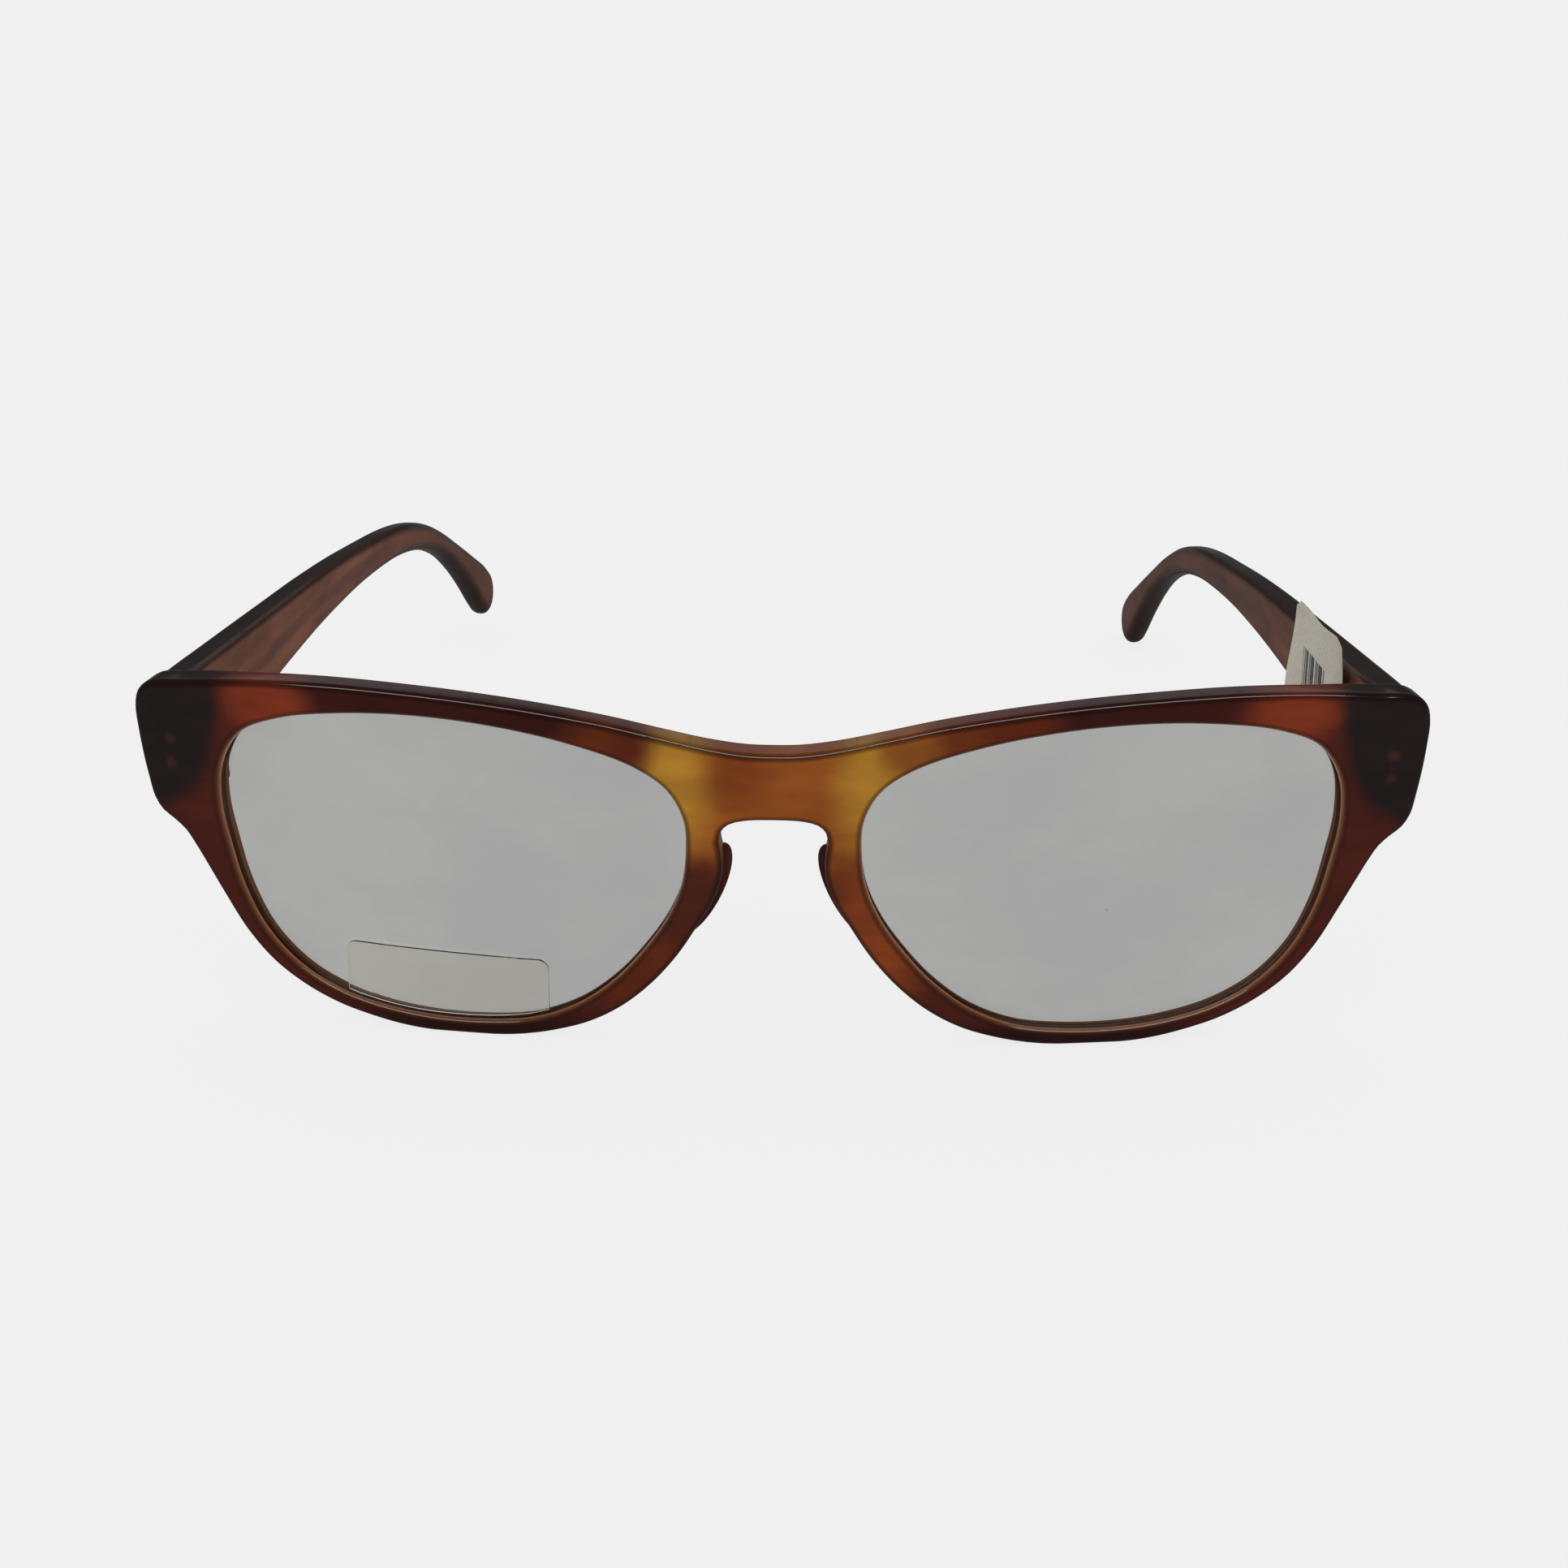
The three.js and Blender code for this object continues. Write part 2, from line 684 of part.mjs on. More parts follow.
// One temple and what rides on it, about its hinge axis. side is 1 for left and -1 for right.
function templeAssembly(side, set, heldIn) {
  const handed = (geometry) => solid(side > 0 ? geometry : mirroredX(geometry));
  const group = new THREE.Group();
  const word = side > 0 ? "left" : "right";
  const bar = tipped(geometryOf(templeBar()), set);
  group.add(piece("temple_" + word, handed(bar), acetateTemple));
  const wire = tipped(coreRod(WIRE_RADIUS, 0), set);
  group.add(piece("core_wire_" + word, handed(wire), hingeMetal));
  group.add(piece("hinge_temple_leaf_" + word, handed(geometryOf(templeLeaf())), hingeMetal));
  if (side > 0) {
    group.add(piece("paper_label", handed(tipped(paperLabel(), set)), labelPaper));
  }
  group.position.set(side * hingeX, hingeY, 0);
  group.rotation.z = side * (OPEN_TOE_IN + heldIn);
  return group;
}

// Hinge pieces that stay with the front on one side.
function frontHinge(side) {
  const handed = (geometry) => solid(side > 0 ? geometry : mirroredX(geometry));
  const group = new THREE.Group();
  const word = side > 0 ? "left" : "right";
  const leaf = atCorner(geometryOf(frontLeaf()));
  group.add(piece("hinge_front_leaf_" + word, handed(leaf), hingeMetal));
  const screw = atCorner(geometryOf(hingeScrew()));
  group.add(piece("hinge_screw_" + word, handed(screw), hingeMetal));
  PIN_LEVELS.forEach((level, i) => {
    const pin = atCorner(anchorPin(level, PIN_RADIUS, -AXIS_STAND_OFF - 0.15, -AXIS_STAND_OFF - PIN_TIP));
    const place = i === 0 ? "lower" : "upper";
    group.add(piece("anchor_pin_" + place + "_" + word, handed(pin), hingeMetal));
  });
  return group;
}

function frontAssembly() {
  const group = new THREE.Group();
  group.add(piece("front_frame", frontBody(), acetateFront));
  const lens = atLens(lensBlock(LENS_BITE, 0));
  group.add(piece("lens_left", solid(lens), lensPlastic));
  group.add(piece("lens_right", solid(mirroredX(lens)), lensPlastic));
  const film = atLens(filmBlock());
  group.add(piece("lens_film", solid(mirroredX(film)), filmPlastic));
  const pad = nosePad();
  group.add(piece("nose_pad_left", solid(pad), acetatePad));
  group.add(piece("nose_pad_right", solid(mirroredX(pad)), acetatePad));
  group.add(frontHinge(1));
  group.add(frontHinge(-1));
  return group;
}

// The whole part, standing on its rim feet and temple ends, centred on its own bounding box.
function spectacles() {
  const group = new THREE.Group();
  group.name = "spectacles";
  group.add(frontAssembly());
  group.add(templeAssembly(1, LEFT_SET, LEFT_HELD_IN));
  group.add(templeAssembly(-1, RIGHT_SET, 0));
  group.updateMatrixWorld(true);
  const bounds = new THREE.Box3().setFromObject(group, true);
  const centre = bounds.getCenter(new THREE.Vector3());
  group.position.set(-centre.x, -centre.y, -bounds.min.z);
  return group;
}

export default spectacles();
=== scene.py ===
import json
import math
import bmesh
import bpy
from mathutils import Matrix, Vector


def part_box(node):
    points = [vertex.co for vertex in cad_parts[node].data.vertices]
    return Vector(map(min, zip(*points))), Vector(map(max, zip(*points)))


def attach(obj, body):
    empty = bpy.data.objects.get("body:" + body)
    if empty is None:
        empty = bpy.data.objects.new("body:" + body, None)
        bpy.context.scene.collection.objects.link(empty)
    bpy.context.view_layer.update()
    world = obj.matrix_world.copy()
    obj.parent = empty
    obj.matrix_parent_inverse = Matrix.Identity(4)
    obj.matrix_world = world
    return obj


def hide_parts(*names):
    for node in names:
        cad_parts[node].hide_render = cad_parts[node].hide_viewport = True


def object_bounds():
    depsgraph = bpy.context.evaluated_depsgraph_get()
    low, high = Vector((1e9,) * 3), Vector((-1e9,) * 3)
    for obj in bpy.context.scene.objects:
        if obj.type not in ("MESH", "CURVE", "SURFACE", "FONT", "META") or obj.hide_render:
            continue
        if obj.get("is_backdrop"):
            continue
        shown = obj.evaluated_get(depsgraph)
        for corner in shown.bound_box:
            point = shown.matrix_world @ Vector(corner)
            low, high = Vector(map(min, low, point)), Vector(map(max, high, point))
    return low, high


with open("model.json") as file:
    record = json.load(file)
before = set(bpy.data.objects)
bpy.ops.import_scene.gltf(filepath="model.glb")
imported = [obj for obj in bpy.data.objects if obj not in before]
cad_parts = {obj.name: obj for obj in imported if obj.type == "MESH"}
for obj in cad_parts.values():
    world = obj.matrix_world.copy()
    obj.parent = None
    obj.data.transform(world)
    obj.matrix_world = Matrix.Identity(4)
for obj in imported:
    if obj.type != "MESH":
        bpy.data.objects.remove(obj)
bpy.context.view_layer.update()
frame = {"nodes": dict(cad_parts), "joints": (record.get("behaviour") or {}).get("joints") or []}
scene = bpy.context.scene

# ---------------------------------------------------------------------------
# The front.
# One sheet of tortoiseshell acetate, cut to the outline of both rims and the bridge, heat-bent
# about an upright axis behind the face, and tumble-polished so that every edge is rounded.
# ---------------------------------------------------------------------------
MM = 0.001
BEND_RADIUS = 300
FRONT_FACE_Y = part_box("front_frame")[0].y / MM
RIM_THICKNESS = 3.6
BRIDGE_EXTRA = 0.5
BRIDGE_SPREAD = 9
ENDPIECE_EXTRA = 0.8
ENDPIECE_FROM = 56
ENDPIECE_FULL = 65
EDGE_ROUND = 0.8
ROUND_STEPS = 5
# Share of painted edge shade kept on the wall beyond a rounded edge.
WALL_SHADE_SHARE = 0.5
OUTLINE_PITCH = 0.7
STRIP = 2.5

LENS_S = 35.5
LENS_H = 20
LENS_SPHERE = 150
LENS_SETBACK = -0.1
LENS_THICKNESS = 1.2
LENS_BITE = 0.5
GROOVE_SLACK = 0.3

HALF_OUTLINE = [
    (0, 27.2), (3.2, 27.05), (4.8, 26.6), (5.6, 25.8), (5.85, 24.8), (5.65, 23.5), (5.5, 21.9),
    (5.75, 19.9), (6.6, 17.5), (8.1, 14.9), (10.6, 10.9), (13.5, 7.4), (16.8, 4.5), (20.4, 2.4),
    (24.2, 1.1), (28, 0.3), (31.5, 0), (38.3, 0), (42, 0.4), (45.6, 1.2), (49.4, 2.4),
    (53.2, 4.3), (56.8, 7.0), (59.8, 10.6), (62.3, 15.0), (64.0, 18.2), (65.2, 20.4),
    (66.2, 22.0), (67.4, 23.1), (68.7, 24.1), (69.6, 25.6), (70.1, 28.0), (70.5, 30.6),
    (70.8, 33.6), (70.9, 36.4), (70.4, 38.2), (69.0, 39.3), (65, 39.8), (60, 40.3), (55, 40.6),
    (49, 40.7), (42, 40.5), (34, 40.0), (26, 39.15), (18, 37.9), (12, 36.6), (7, 35.5), (3, 34.9),
    (0, 34.8),
]
APERTURE = [
    (9.5, 23.5), (10.0, 19.5), (11.5, 15.7), (13.9, 12.0), (17.4, 7.9), (21.6, 4.6),
    (26.6, 2.5), (32, 1.8), (38, 1.8), (43.5, 2.5), (48.8, 4.0), (53.4, 6.6), (57.2, 10.7),
    (59.6, 15.7), (60.8, 20.5), (61.6, 25.5), (61.1, 30.5), (58.6, 34.3), (54, 36.3),
    (48, 37.3), (40, 37.7), (31, 37.1), (22, 35.4), (15, 33), (11.4, 30.4), (9.7, 27),
]
LEAF_POCKET = (61.7, 68.9, 26.9, 35.9)
KNUCKLE_POCKET = (62.75, 64.45, 26.1, 36.7)
POCKET_DEPTH = 1.3
POCKET_SLOPE = 0.05
ON_PLANE = 1e-5


def smooth_path(points, pitch, closed=False):
    """Points about `pitch` apart on one smooth curve through a few given ones."""
    given = [Vector(p) for p in points]
    if closed:
        given = [given[-1], *given, given[0], given[1]]
    else:
        given = [2 * given[0] - given[1], *given, 2 * given[-1] - given[-2]]
    path = []
    for a, b, c, d in zip(given, given[1:], given[2:], given[3:]):
        k1 = (b - a).length ** 0.5
        k2 = k1 + (c - b).length ** 0.5
        k3 = k2 + (d - c).length ** 0.5
        steps = max(1, round((c - b).length / pitch))
        for i in range(steps):
            t = k1 + (k2 - k1) * i / steps
            ab = a + (b - a) * (t / k1)
            bc = b + (c - b) * ((t - k1) / (k2 - k1))
            cd = c + (d - c) * ((t - k2) / (k3 - k2))
            abc = ab + (bc - ab) * (t / k2)
            bcd = bc + (cd - bc) * ((t - k1) / (k3 - k1))
            path.append(abc + (bcd - abc) * ((t - k1) / (k2 - k1)))
    return path if closed else [*path, given[-2]]


def smoothstep(x, low, high):
    share = min(1, max(0, (x - low) / (high - low)))
    return share * share * (3 - 2 * share)


def thickness_share(s):
    """How much thicker than the rim the front is, at a distance s along its curve."""
    bridge = BRIDGE_EXTRA * math.exp(-((s / BRIDGE_SPREAD) ** 2))
    corner = ENDPIECE_EXTRA * smoothstep(abs(s), ENDPIECE_FROM, ENDPIECE_FULL)
    return 1 + (bridge + corner) / RIM_THICKNESS


def bend(point):
    """A place on the flat sheet (along, up, deep, in mm) to its place in the frame, in metres."""
    s, h, t = point
    radius = BEND_RADIUS - t
    turn = s / BEND_RADIUS
    y = BEND_RADIUS - radius * math.cos(turn) + FRONT_FACE_Y
    return Vector((radius * math.sin(turn), y, h)) * MM


def quarter_round(radius, thickness, back=False):
    """Levels of a rounded edge from face to wall: (inset, depth, share of painted shade there)."""
    levels = []
    for i in range(ROUND_STEPS + 1):
        a = math.pi / 2 * i / ROUND_STEPS
        # Painted shade peaks half-way round the edge and keeps part of its strength on the wall.
        shown = max(math.sin(2 * a), WALL_SHADE_SHARE * math.sin(a))
        levels.append((radius * (1 - math.sin(a)), radius * (1 - math.cos(a)), shown))
    if back:
        return [(inset, thickness - depth, shade_share) for inset, depth, shade_share in reversed(levels)]
    return levels


def wall(bm, loop, levels, masks):
    """A closed wall round a loop, extruded ring by ring. Returns the first and the last ring."""
    count = len(loop)
    lefts = []
    for i in range(count):
        along = (loop[(i + 1) % count] - loop[i - 1]).normalized()
        lefts.append(Vector((-along.y, along.x)))
    ring, first = None, None
    for inset, depth, edge_shade_share, inner in levels:
        places = []
        for p, left in zip(loop, lefts):
            q = p + left * (inset(p) if callable(inset) else inset)
            places.append(Vector((q.x, q.y, depth(p) if callable(depth) else depth)))
        if ring is None:
            ring = [bm.verts.new(p) for p in places]
            for i in range(count):
                bm.edges.new((ring[i - 1], ring[i]))
            first = ring
        else:
            edges = [bm.edges.get((ring[i - 1], ring[i])) for i in range(count)]
            made = bmesh.ops.extrude_edge_only(bm, edges=edges)["geom"]
            fresh = {v for v in made if isinstance(v, bmesh.types.BMVert)}
            ring = [
                next(e.other_vert(v) for e in v.link_edges if e.other_vert(v) in fresh)
                for v in ring
            ]
            for v, place in zip(ring, places):
                v.co = place
        # Each ring carries its share of painted edge shade and of painted glow on the inner walls.
        for v in ring:
            v[masks["edge_shade_share"]] = edge_shade_share
            v[masks["wall_glow_share"]] = inner
    return first, ring


def close_with_faces(bm, rings):
    """A flat face between rings, with the inner ones as holes."""
    edges = [bm.edges.get((r[i - 1], r[i])) for r in rings for i in range(len(r))]
    bmesh.ops.triangle_fill(bm, use_beauty=True, use_dissolve=False, edges=edges)


def cut_across(bm, places, direction):
    """New edges across the piece at the given places along a direction."""
    for place in places:
        bmesh.ops.bisect_plane(
            bm,
            geom=bm.verts[:] + bm.edges[:] + bm.faces[:],
            dist=ON_PLANE,
            plane_co=direction * place,
            plane_no=direction,
        )


def steps_between(low, high, step):
    count = max(1, round((high - low) / step))
    return [low + (high - low) * i / count for i in range(1, count)]


def piece_from(bm, name, material, body, crease=50):
    """A finished mesh as an object that rides on a body, shaded smooth except at its creases."""
    bmesh.ops.remove_doubles(bm, verts=bm.verts[:], dist=1e-7)
    bmesh.ops.recalc_face_normals(bm, faces=bm.faces[:])
    mesh = bpy.data.meshes.new(name)
    bm.to_mesh(mesh)
    bm.free()
    mesh.polygons.foreach_set("use_smooth", [True] * len(mesh.polygons))
    mesh.set_sharp_from_angle(angle=math.radians(crease))
    mesh.materials.append(material)
    made = bpy.data.objects.new(name, mesh)
    scene.collection.objects.link(made)
    even = made.modifiers.new("even_normals", "WEIGHTED_NORMAL")
    even.keep_sharp = True
    even.weight = 60
    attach(made, body)
    return made


def lens_depth(p):
    """Depth of the lens's front surface in the flat sheet, below a point of the opening's edge."""
    turn = (p.x - LENS_S) / BEND_RADIUS
    across = BEND_RADIUS * math.sin(turn)
    sag = (across ** 2 + (p.y - LENS_H) ** 2) / (2 * LENS_SPHERE)
    return LENS_SETBACK + sag - BEND_RADIUS * (1 - math.cos(turn))


def groove_front(p):
    return max(EDGE_ROUND + 0.02, (lens_depth(p) - GROOVE_SLACK) / thickness_share(p.x))


def groove_back(p):
    lowest = RIM_THICKNESS - EDGE_ROUND - 0.02
    return min(lowest, (lens_depth(p) + LENS_THICKNESS + GROOVE_SLACK) / thickness_share(p.x))


# Node trees: each node is placed with its settings and its inputs, a value or another node's output.
def node(tree, kind, inputs=None, **settings):
    made = tree.nodes.new("ShaderNode" + kind)
    for key, value in settings.items():
        setattr(made, key, value)
    for key, value in (inputs or {}).items():
        if isinstance(value, bpy.types.NodeSocket):
            tree.links.new(value, made.inputs[key])
        else:
            made.inputs[key].default_value = value
    return made


def maths(tree, operation, *values):
    return node(tree, "Math", dict(enumerate(values)), operation=operation).outputs[0]


def colour(red, green, blue):
    """An sRGB colour, 0 to 255, as the linear values that a shader takes."""
    linear = [
        v / 12.92 if v <= 0.04045 else ((v + 0.055) / 1.055) ** 2.4
        for v in (red / 255, green / 255, blue / 255)
    ]
    return (*linear, 1)


def mixed(tree, share, first, second, blend="MIX"):
    return node(
        tree, "Mix", {0: share, 6: first, 7: second}, data_type="RGBA", blend_type=blend
    ).outputs[2]


def spread(tree, value, low, high, to_low=0.0, to_high=1.0, soft=True):
    """A value mapped from one range to another, held at the ends."""
    return node(
        tree,
        "MapRange",
        {0: value, 1: low, 2: high, 3: to_low, 4: to_high},
        interpolation_type="SMOOTHSTEP" if soft else "LINEAR",
    ).outputs[0]


def noise(tree, place, scale, detail=3.0, roughness=0.5):
    return node(
        tree, "TexNoise",
        {"Vector": place, "Scale": scale, "Detail": detail, "Roughness": roughness},
    ).outputs["Fac"]


def stretched(tree, place, factors):
    return node(
        tree, "VectorMath", {0: place, 1: factors}, operation="MULTIPLY"
    ).outputs[0]


def new_group(name, inputs, outputs):
    """An empty node group with named sockets, each (name, kind, default)."""
    group = bpy.data.node_groups.new(name, "ShaderNodeTree")
    for socket, kind, default in inputs:
        made = group.interface.new_socket(socket, in_out="INPUT", socket_type=kind)
        if default is not None:
            made.default_value = default
    for socket, kind in outputs:
        group.interface.new_socket(socket, in_out="OUTPUT", socket_type=kind)
    return group, group.nodes.new("NodeGroupInput").outputs, group.nodes.new("NodeGroupOutput")


def grouped(tree, group, inputs):
    made = tree.nodes.new("ShaderNodeGroup")
    made.node_tree = group
    for key, value in inputs.items():
        if isinstance(value, bpy.types.NodeSocket):
            tree.links.new(value, made.inputs[key])
        else:
            made.inputs[key].default_value = value
    return made.outputs


def new_material(name, **settings):
    """A material with its shader, and the plain values that are the same all over."""
    made = bpy.data.materials.new(name)
    made.use_nodes = True
    tree = made.node_tree
    shader = tree.nodes["Principled BSDF"]
    for key, value in settings.items():
        shader.inputs[key.replace("_", " ")].default_value = value
    return made, tree, shader


# A soft-edged coloured cloud in the sheet, where dye has run: round a centre, with a reach each way.
cloud, ins, out = new_group(
    "dye_cloud",
    [
        ("Place", "NodeSocketVector", None),
        ("Centre", "NodeSocketVector", None),
        ("Reach", "NodeSocketVector", None),
        ("Edge", "NodeSocketFloat", 0.4),
        ("Under", "NodeSocketColor", None),
        ("Dye", "NodeSocketColor", None),
    ],
    [("Color", "NodeSocketColor")],
)
off_centre = node(cloud, "VectorMath", {0: ins["Place"], 1: ins["Centre"]}, operation="SUBTRACT")
in_reaches = node(
    cloud, "VectorMath", {0: off_centre.outputs[0], 1: ins["Reach"]}, operation="DIVIDE"
)
how_far = node(cloud, "VectorMath", {0: in_reaches.outputs[0]}, operation="LENGTH").outputs["Value"]
cloud_mask = spread(
    cloud,
    how_far,
    maths(cloud, "SUBTRACT", 1.0, ins["Edge"]),
    maths(cloud, "ADD", 1.0, ins["Edge"]),
    1.0,
    0.0,
)
cloud.links.new(mixed(cloud, cloud_mask, ins["Under"], ins["Dye"]), out.inputs["Color"])

# Handling marks on a polished surface: faint smears that change the gloss, and a polisher's waviness.
polish, ins, out = new_group(
    "hand_polish",
    [
        ("Place", "NodeSocketVector", None),
        ("Gloss", "NodeSocketFloat", 0.1),
        ("Smear", "NodeSocketFloat", 0.1),
    ],
    [("Roughness", "NodeSocketFloat"), ("Height", "NodeSocketFloat")],
)
smears = noise(polish, stretched(polish, ins["Place"], (0.25, 0.25, 0.6)), 1.0, 5.0, 0.6)
fine_scratches = noise(polish, stretched(polish, ins["Place"], (0.6, 0.6, 9.0)), 1.0, 2.0)
smear_mask = spread(polish, smears, 0.45, 0.75)
scratch_mask = spread(polish, fine_scratches, 0.62, 0.72, 0.0, 0.35)
marks = maths(polish, "MAXIMUM", smear_mask, scratch_mask)
gloss = maths(polish, "MULTIPLY_ADD", marks, ins["Smear"], ins["Gloss"])
polish.links.new(gloss, out.inputs["Roughness"])
polish.links.new(noise(polish, ins["Place"], 0.22, 2.0), out.inputs["Height"])


def millimetres(tree):
    """Places on the piece, in millimetres of the frame."""
    place = node(tree, "TexCoord").outputs["Object"]
    return stretched(tree, place, (1 / MM, 1 / MM, 1 / MM))


def across_and_up(tree, place, warp, mirrored):
    """The place seen square to the front, both halves alike if mirrored, its lines made wavy."""
    parts = node(tree, "SeparateXYZ", {0: place}).outputs
    across = maths(tree, "ABSOLUTE", parts["X"]) if mirrored else parts["X"]
    drift = maths(tree, "SUBTRACT", noise(tree, place, 0.16, 3.0, 0.55), 0.5)
    rise = maths(tree, "SUBTRACT", noise(tree, stretched(tree, place, (1, -1, 1)), 0.2, 2.0), 0.5)
    return node(
        tree,
        "CombineXYZ",
        {
            0: maths(tree, "MULTIPLY_ADD", drift, warp, across),
            2: maths(tree, "MULTIPLY_ADD", rise, warp, parts["Z"]),
        },
    ).outputs[0]


def dyed(tree, place, ground, clouds):
    """A ground colour with coloured clouds laid over it in order."""
    result = ground
    for across, up, reach_across, reach_up, edge, dye in clouds:
        result = grouped(
            tree,
            cloud,
            {
                "Place": place,
                "Centre": (across, 0, up),
                "Reach": (reach_across, 1, reach_up),
                "Edge": edge,
                "Under": result,
                "Dye": dye,
            },
        )["Color"]
    return result


def finish_acetate(tree, shader, place, shade, gloss, smear, bump=0.06):
    """Depth in the sheet as cloudy light and dark, with painted shade on the rounded edges and
    painted glow on the thin inner walls.
    """
    wisps = noise(tree, stretched(tree, place, (0.10, 0.10, 0.34)), 1.0, 4.0, 0.6)
    depth = spread(tree, wisps, 0.3, 0.7, 0.84, 1.14)
    grey = node(tree, "CombineColor", {0: depth, 1: depth, 2: depth}).outputs[0]
    shade = mixed(tree, 1.0, shade, grey, "MULTIPLY")
    edge_shade_share = node(tree, "Attribute", attribute_name="edge_shade_share").outputs["Fac"]
    inner = node(tree, "Attribute", attribute_name="wall_glow_share").outputs["Fac"]
    outside = maths(tree, "SUBTRACT", 1.0, inner)
    # Painted shade: rounded edges darkened towards a near-black red-brown, except on the inner walls.
    edge = maths(tree, "MULTIPLY", maths(tree, "MULTIPLY", edge_shade_share, outside), EDGE_PAINTED_SHADE)
    shade = mixed(tree, edge, shade, colour(30, 10, 6))
    # Painted glow: the inner walls of the openings lightened towards tan, as if lit through the thin
    # sheet.
    shade = mixed(tree, maths(tree, "MULTIPLY", inner, WALL_PAINTED_GLOW), shade, colour(*WALL_GLOW_TAN))
    marks = grouped(tree, polish, {"Place": place, "Gloss": gloss, "Smear": smear})
    wave = node(tree, "Bump", {"Height": marks["Height"], "Strength": bump, "Distance": 0.2 * MM})
    tree.links.new(shade, shader.inputs["Base Color"])
    tree.links.new(marks["Roughness"], shader.inputs["Roughness"])
    tree.links.new(wave.outputs[0], shader.inputs["Normal"])


# Strength of the painted shade on rounded edges.
EDGE_PAINTED_SHADE = 0.8
# Strength and tan colour of the painted glow on the inner walls.
WALL_PAINTED_GLOW = 0.85
WALL_GLOW_TAN = (176, 112, 70)
DYE_DRIFT = 2.2
PIN_SPOT = 0.6
FRONT_GROUND = colour(72, 25, 17)
BOTH_SIDES = [
    (37, 40, 15, 4.2, 0.45, colour(52, 15, 11)),
    (20.5, 37.6, 5.5, 3.2, 0.6, colour(98, 42, 12)),
    (55, 38.2, 4.6, 3.4, 0.5, colour(120, 46, 22)),
    (33, -0.5, 15, 5.0, 0.5, colour(34, 9, 7)),
    (0, 30, 13.0, 9.5, 0.35, colour(142, 75, 23)),
    (10.4, 31.5, 3.4, 7.0, 0.75, colour(172, 122, 38)),
    (73, 37.5, 12.6, 14.2, 0.1, colour(30, 21, 22)),
]
ONE_SIDE = [
    (14.5, 35.6, 3.2, 2.6, 0.6, colour(138, 78, 26)),
    (26, 38.4, 4, 3, 0.6, colour(90, 32, 11)),
    (11.5, 14.5, 5.0, 8.5, 0.5, colour(124, 56, 20)),
    (-14, 8.5, 5, 5, 0.5, colour(90, 35, 12)),
    (-8.2, 17.6, 4.4, 4.6, 0.5, colour(72, 28, 15)),
    (-15.5, 35.2, 2.4, 2.8, 0.85, colour(82, 30, 10)),
    (-21, 37.4, 3.6, 2.6, 0.6, colour(98, 38, 13)),
    (-26, 38.4, 5, 3, 0.5, colour(52, 13, 8)),
    (-3.5, 32.8, 3.0, 3.6, 0.7, colour(120, 57, 17)),
]
tortoiseshell, tree, shader = new_material("front_tortoiseshell", IOR=1.49)
place = millimetres(tree)
mirrored_place = across_and_up(tree, place, DYE_DRIFT, True)
plain_place = across_and_up(tree, place, DYE_DRIFT, False)
shade = dyed(tree, mirrored_place, FRONT_GROUND, BOTH_SIDES)
shade = dyed(tree, plain_place, shade, ONE_SIDE)
for side in ("left", "right"):
    for height in ("lower", "upper"):
        low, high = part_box(f"anchor_pin_{height}_{side}")
        spot = (low + high) / 2 / MM
        pin_cloud = (spot.x, spot.z, PIN_SPOT, PIN_SPOT, 0.6, colour(56, 31, 27))
        shade = dyed(tree, plain_place, shade, [pin_cloud])
finish_acetate(tree, shader, place, shade, 0.09, 0.09)

bm = bmesh.new()
masks = {name: bm.verts.layers.float.new(name) for name in ("edge_shade_share", "wall_glow_share")}
half = HALF_OUTLINE + [(-s, h) for s, h in reversed(HALF_OUTLINE[1:-1])]
outer = [Vector((p.x, max(0, p.y))) for p in smooth_path(half, OUTLINE_PITCH, closed=True)]
left_hole = list(reversed(smooth_path(APERTURE, OUTLINE_PITCH, closed=True)))
right_hole = [Vector((-p.x, p.y)) for p in reversed(left_hole)]
# The outer outline's walls get painted edge shade and no painted glow.
to_wall = [(*level, 0) for level in quarter_round(EDGE_ROUND, RIM_THICKNESS)]
from_wall = [(*level, 0) for level in quarter_round(EDGE_ROUND, RIM_THICKNESS, back=True)]
first, last = wall(bm, outer, [*to_wall, *from_wall], masks)
front_rings, back_rings = [first], [last]
for loop, mirror in ((left_hole, 1), (right_hole, -1)):
    # The openings' walls get painted glow, rising from none on the face to full in the lens seat and
    # falling to none on the back.
    into = [(inset, depth, shade_share, (depth / EDGE_ROUND) ** 1.6) for inset, depth, shade_share, _ in to_wall]
    out_of = [(inset, depth, shade_share, 1 - inset / EDGE_ROUND) for inset, depth, shade_share, _ in from_wall]

    def groove(depth, mirror=mirror):
        return lambda p: depth(Vector((mirror * p.x, p.y)))

    bottom = LENS_BITE + GROOVE_SLACK
    seat = [
        (0, groove(groove_front), 0, 1),
        (bottom, groove(groove_front), 0, 1),
        (bottom, groove(groove_back), 0, 1),
        (0, groove(groove_back), 0, 1),
    ]
    first, last = wall(bm, loop, [*into, *seat, *out_of], masks)
    front_rings.append(first)
    back_rings.append(last)
close_with_faces(bm, front_rings)
close_with_faces(bm, back_rings)
across, up = Vector((1, 0, 0)), Vector((0, 1, 0))
width = max(s for s, h in HALF_OUTLINE)
cut_across(bm, steps_between(-width, width, STRIP), across)
pockets = (LEAF_POCKET, KNUCKLE_POCKET)
for inner_s, outer_s, low_h, high_h in pockets:
    cut_across(bm, (-outer_s, -inner_s, inner_s, outer_s), across)
    cut_across(bm, (low_h, high_h), up)
bmesh.ops.recalc_face_normals(bm, faces=bm.faces[:])


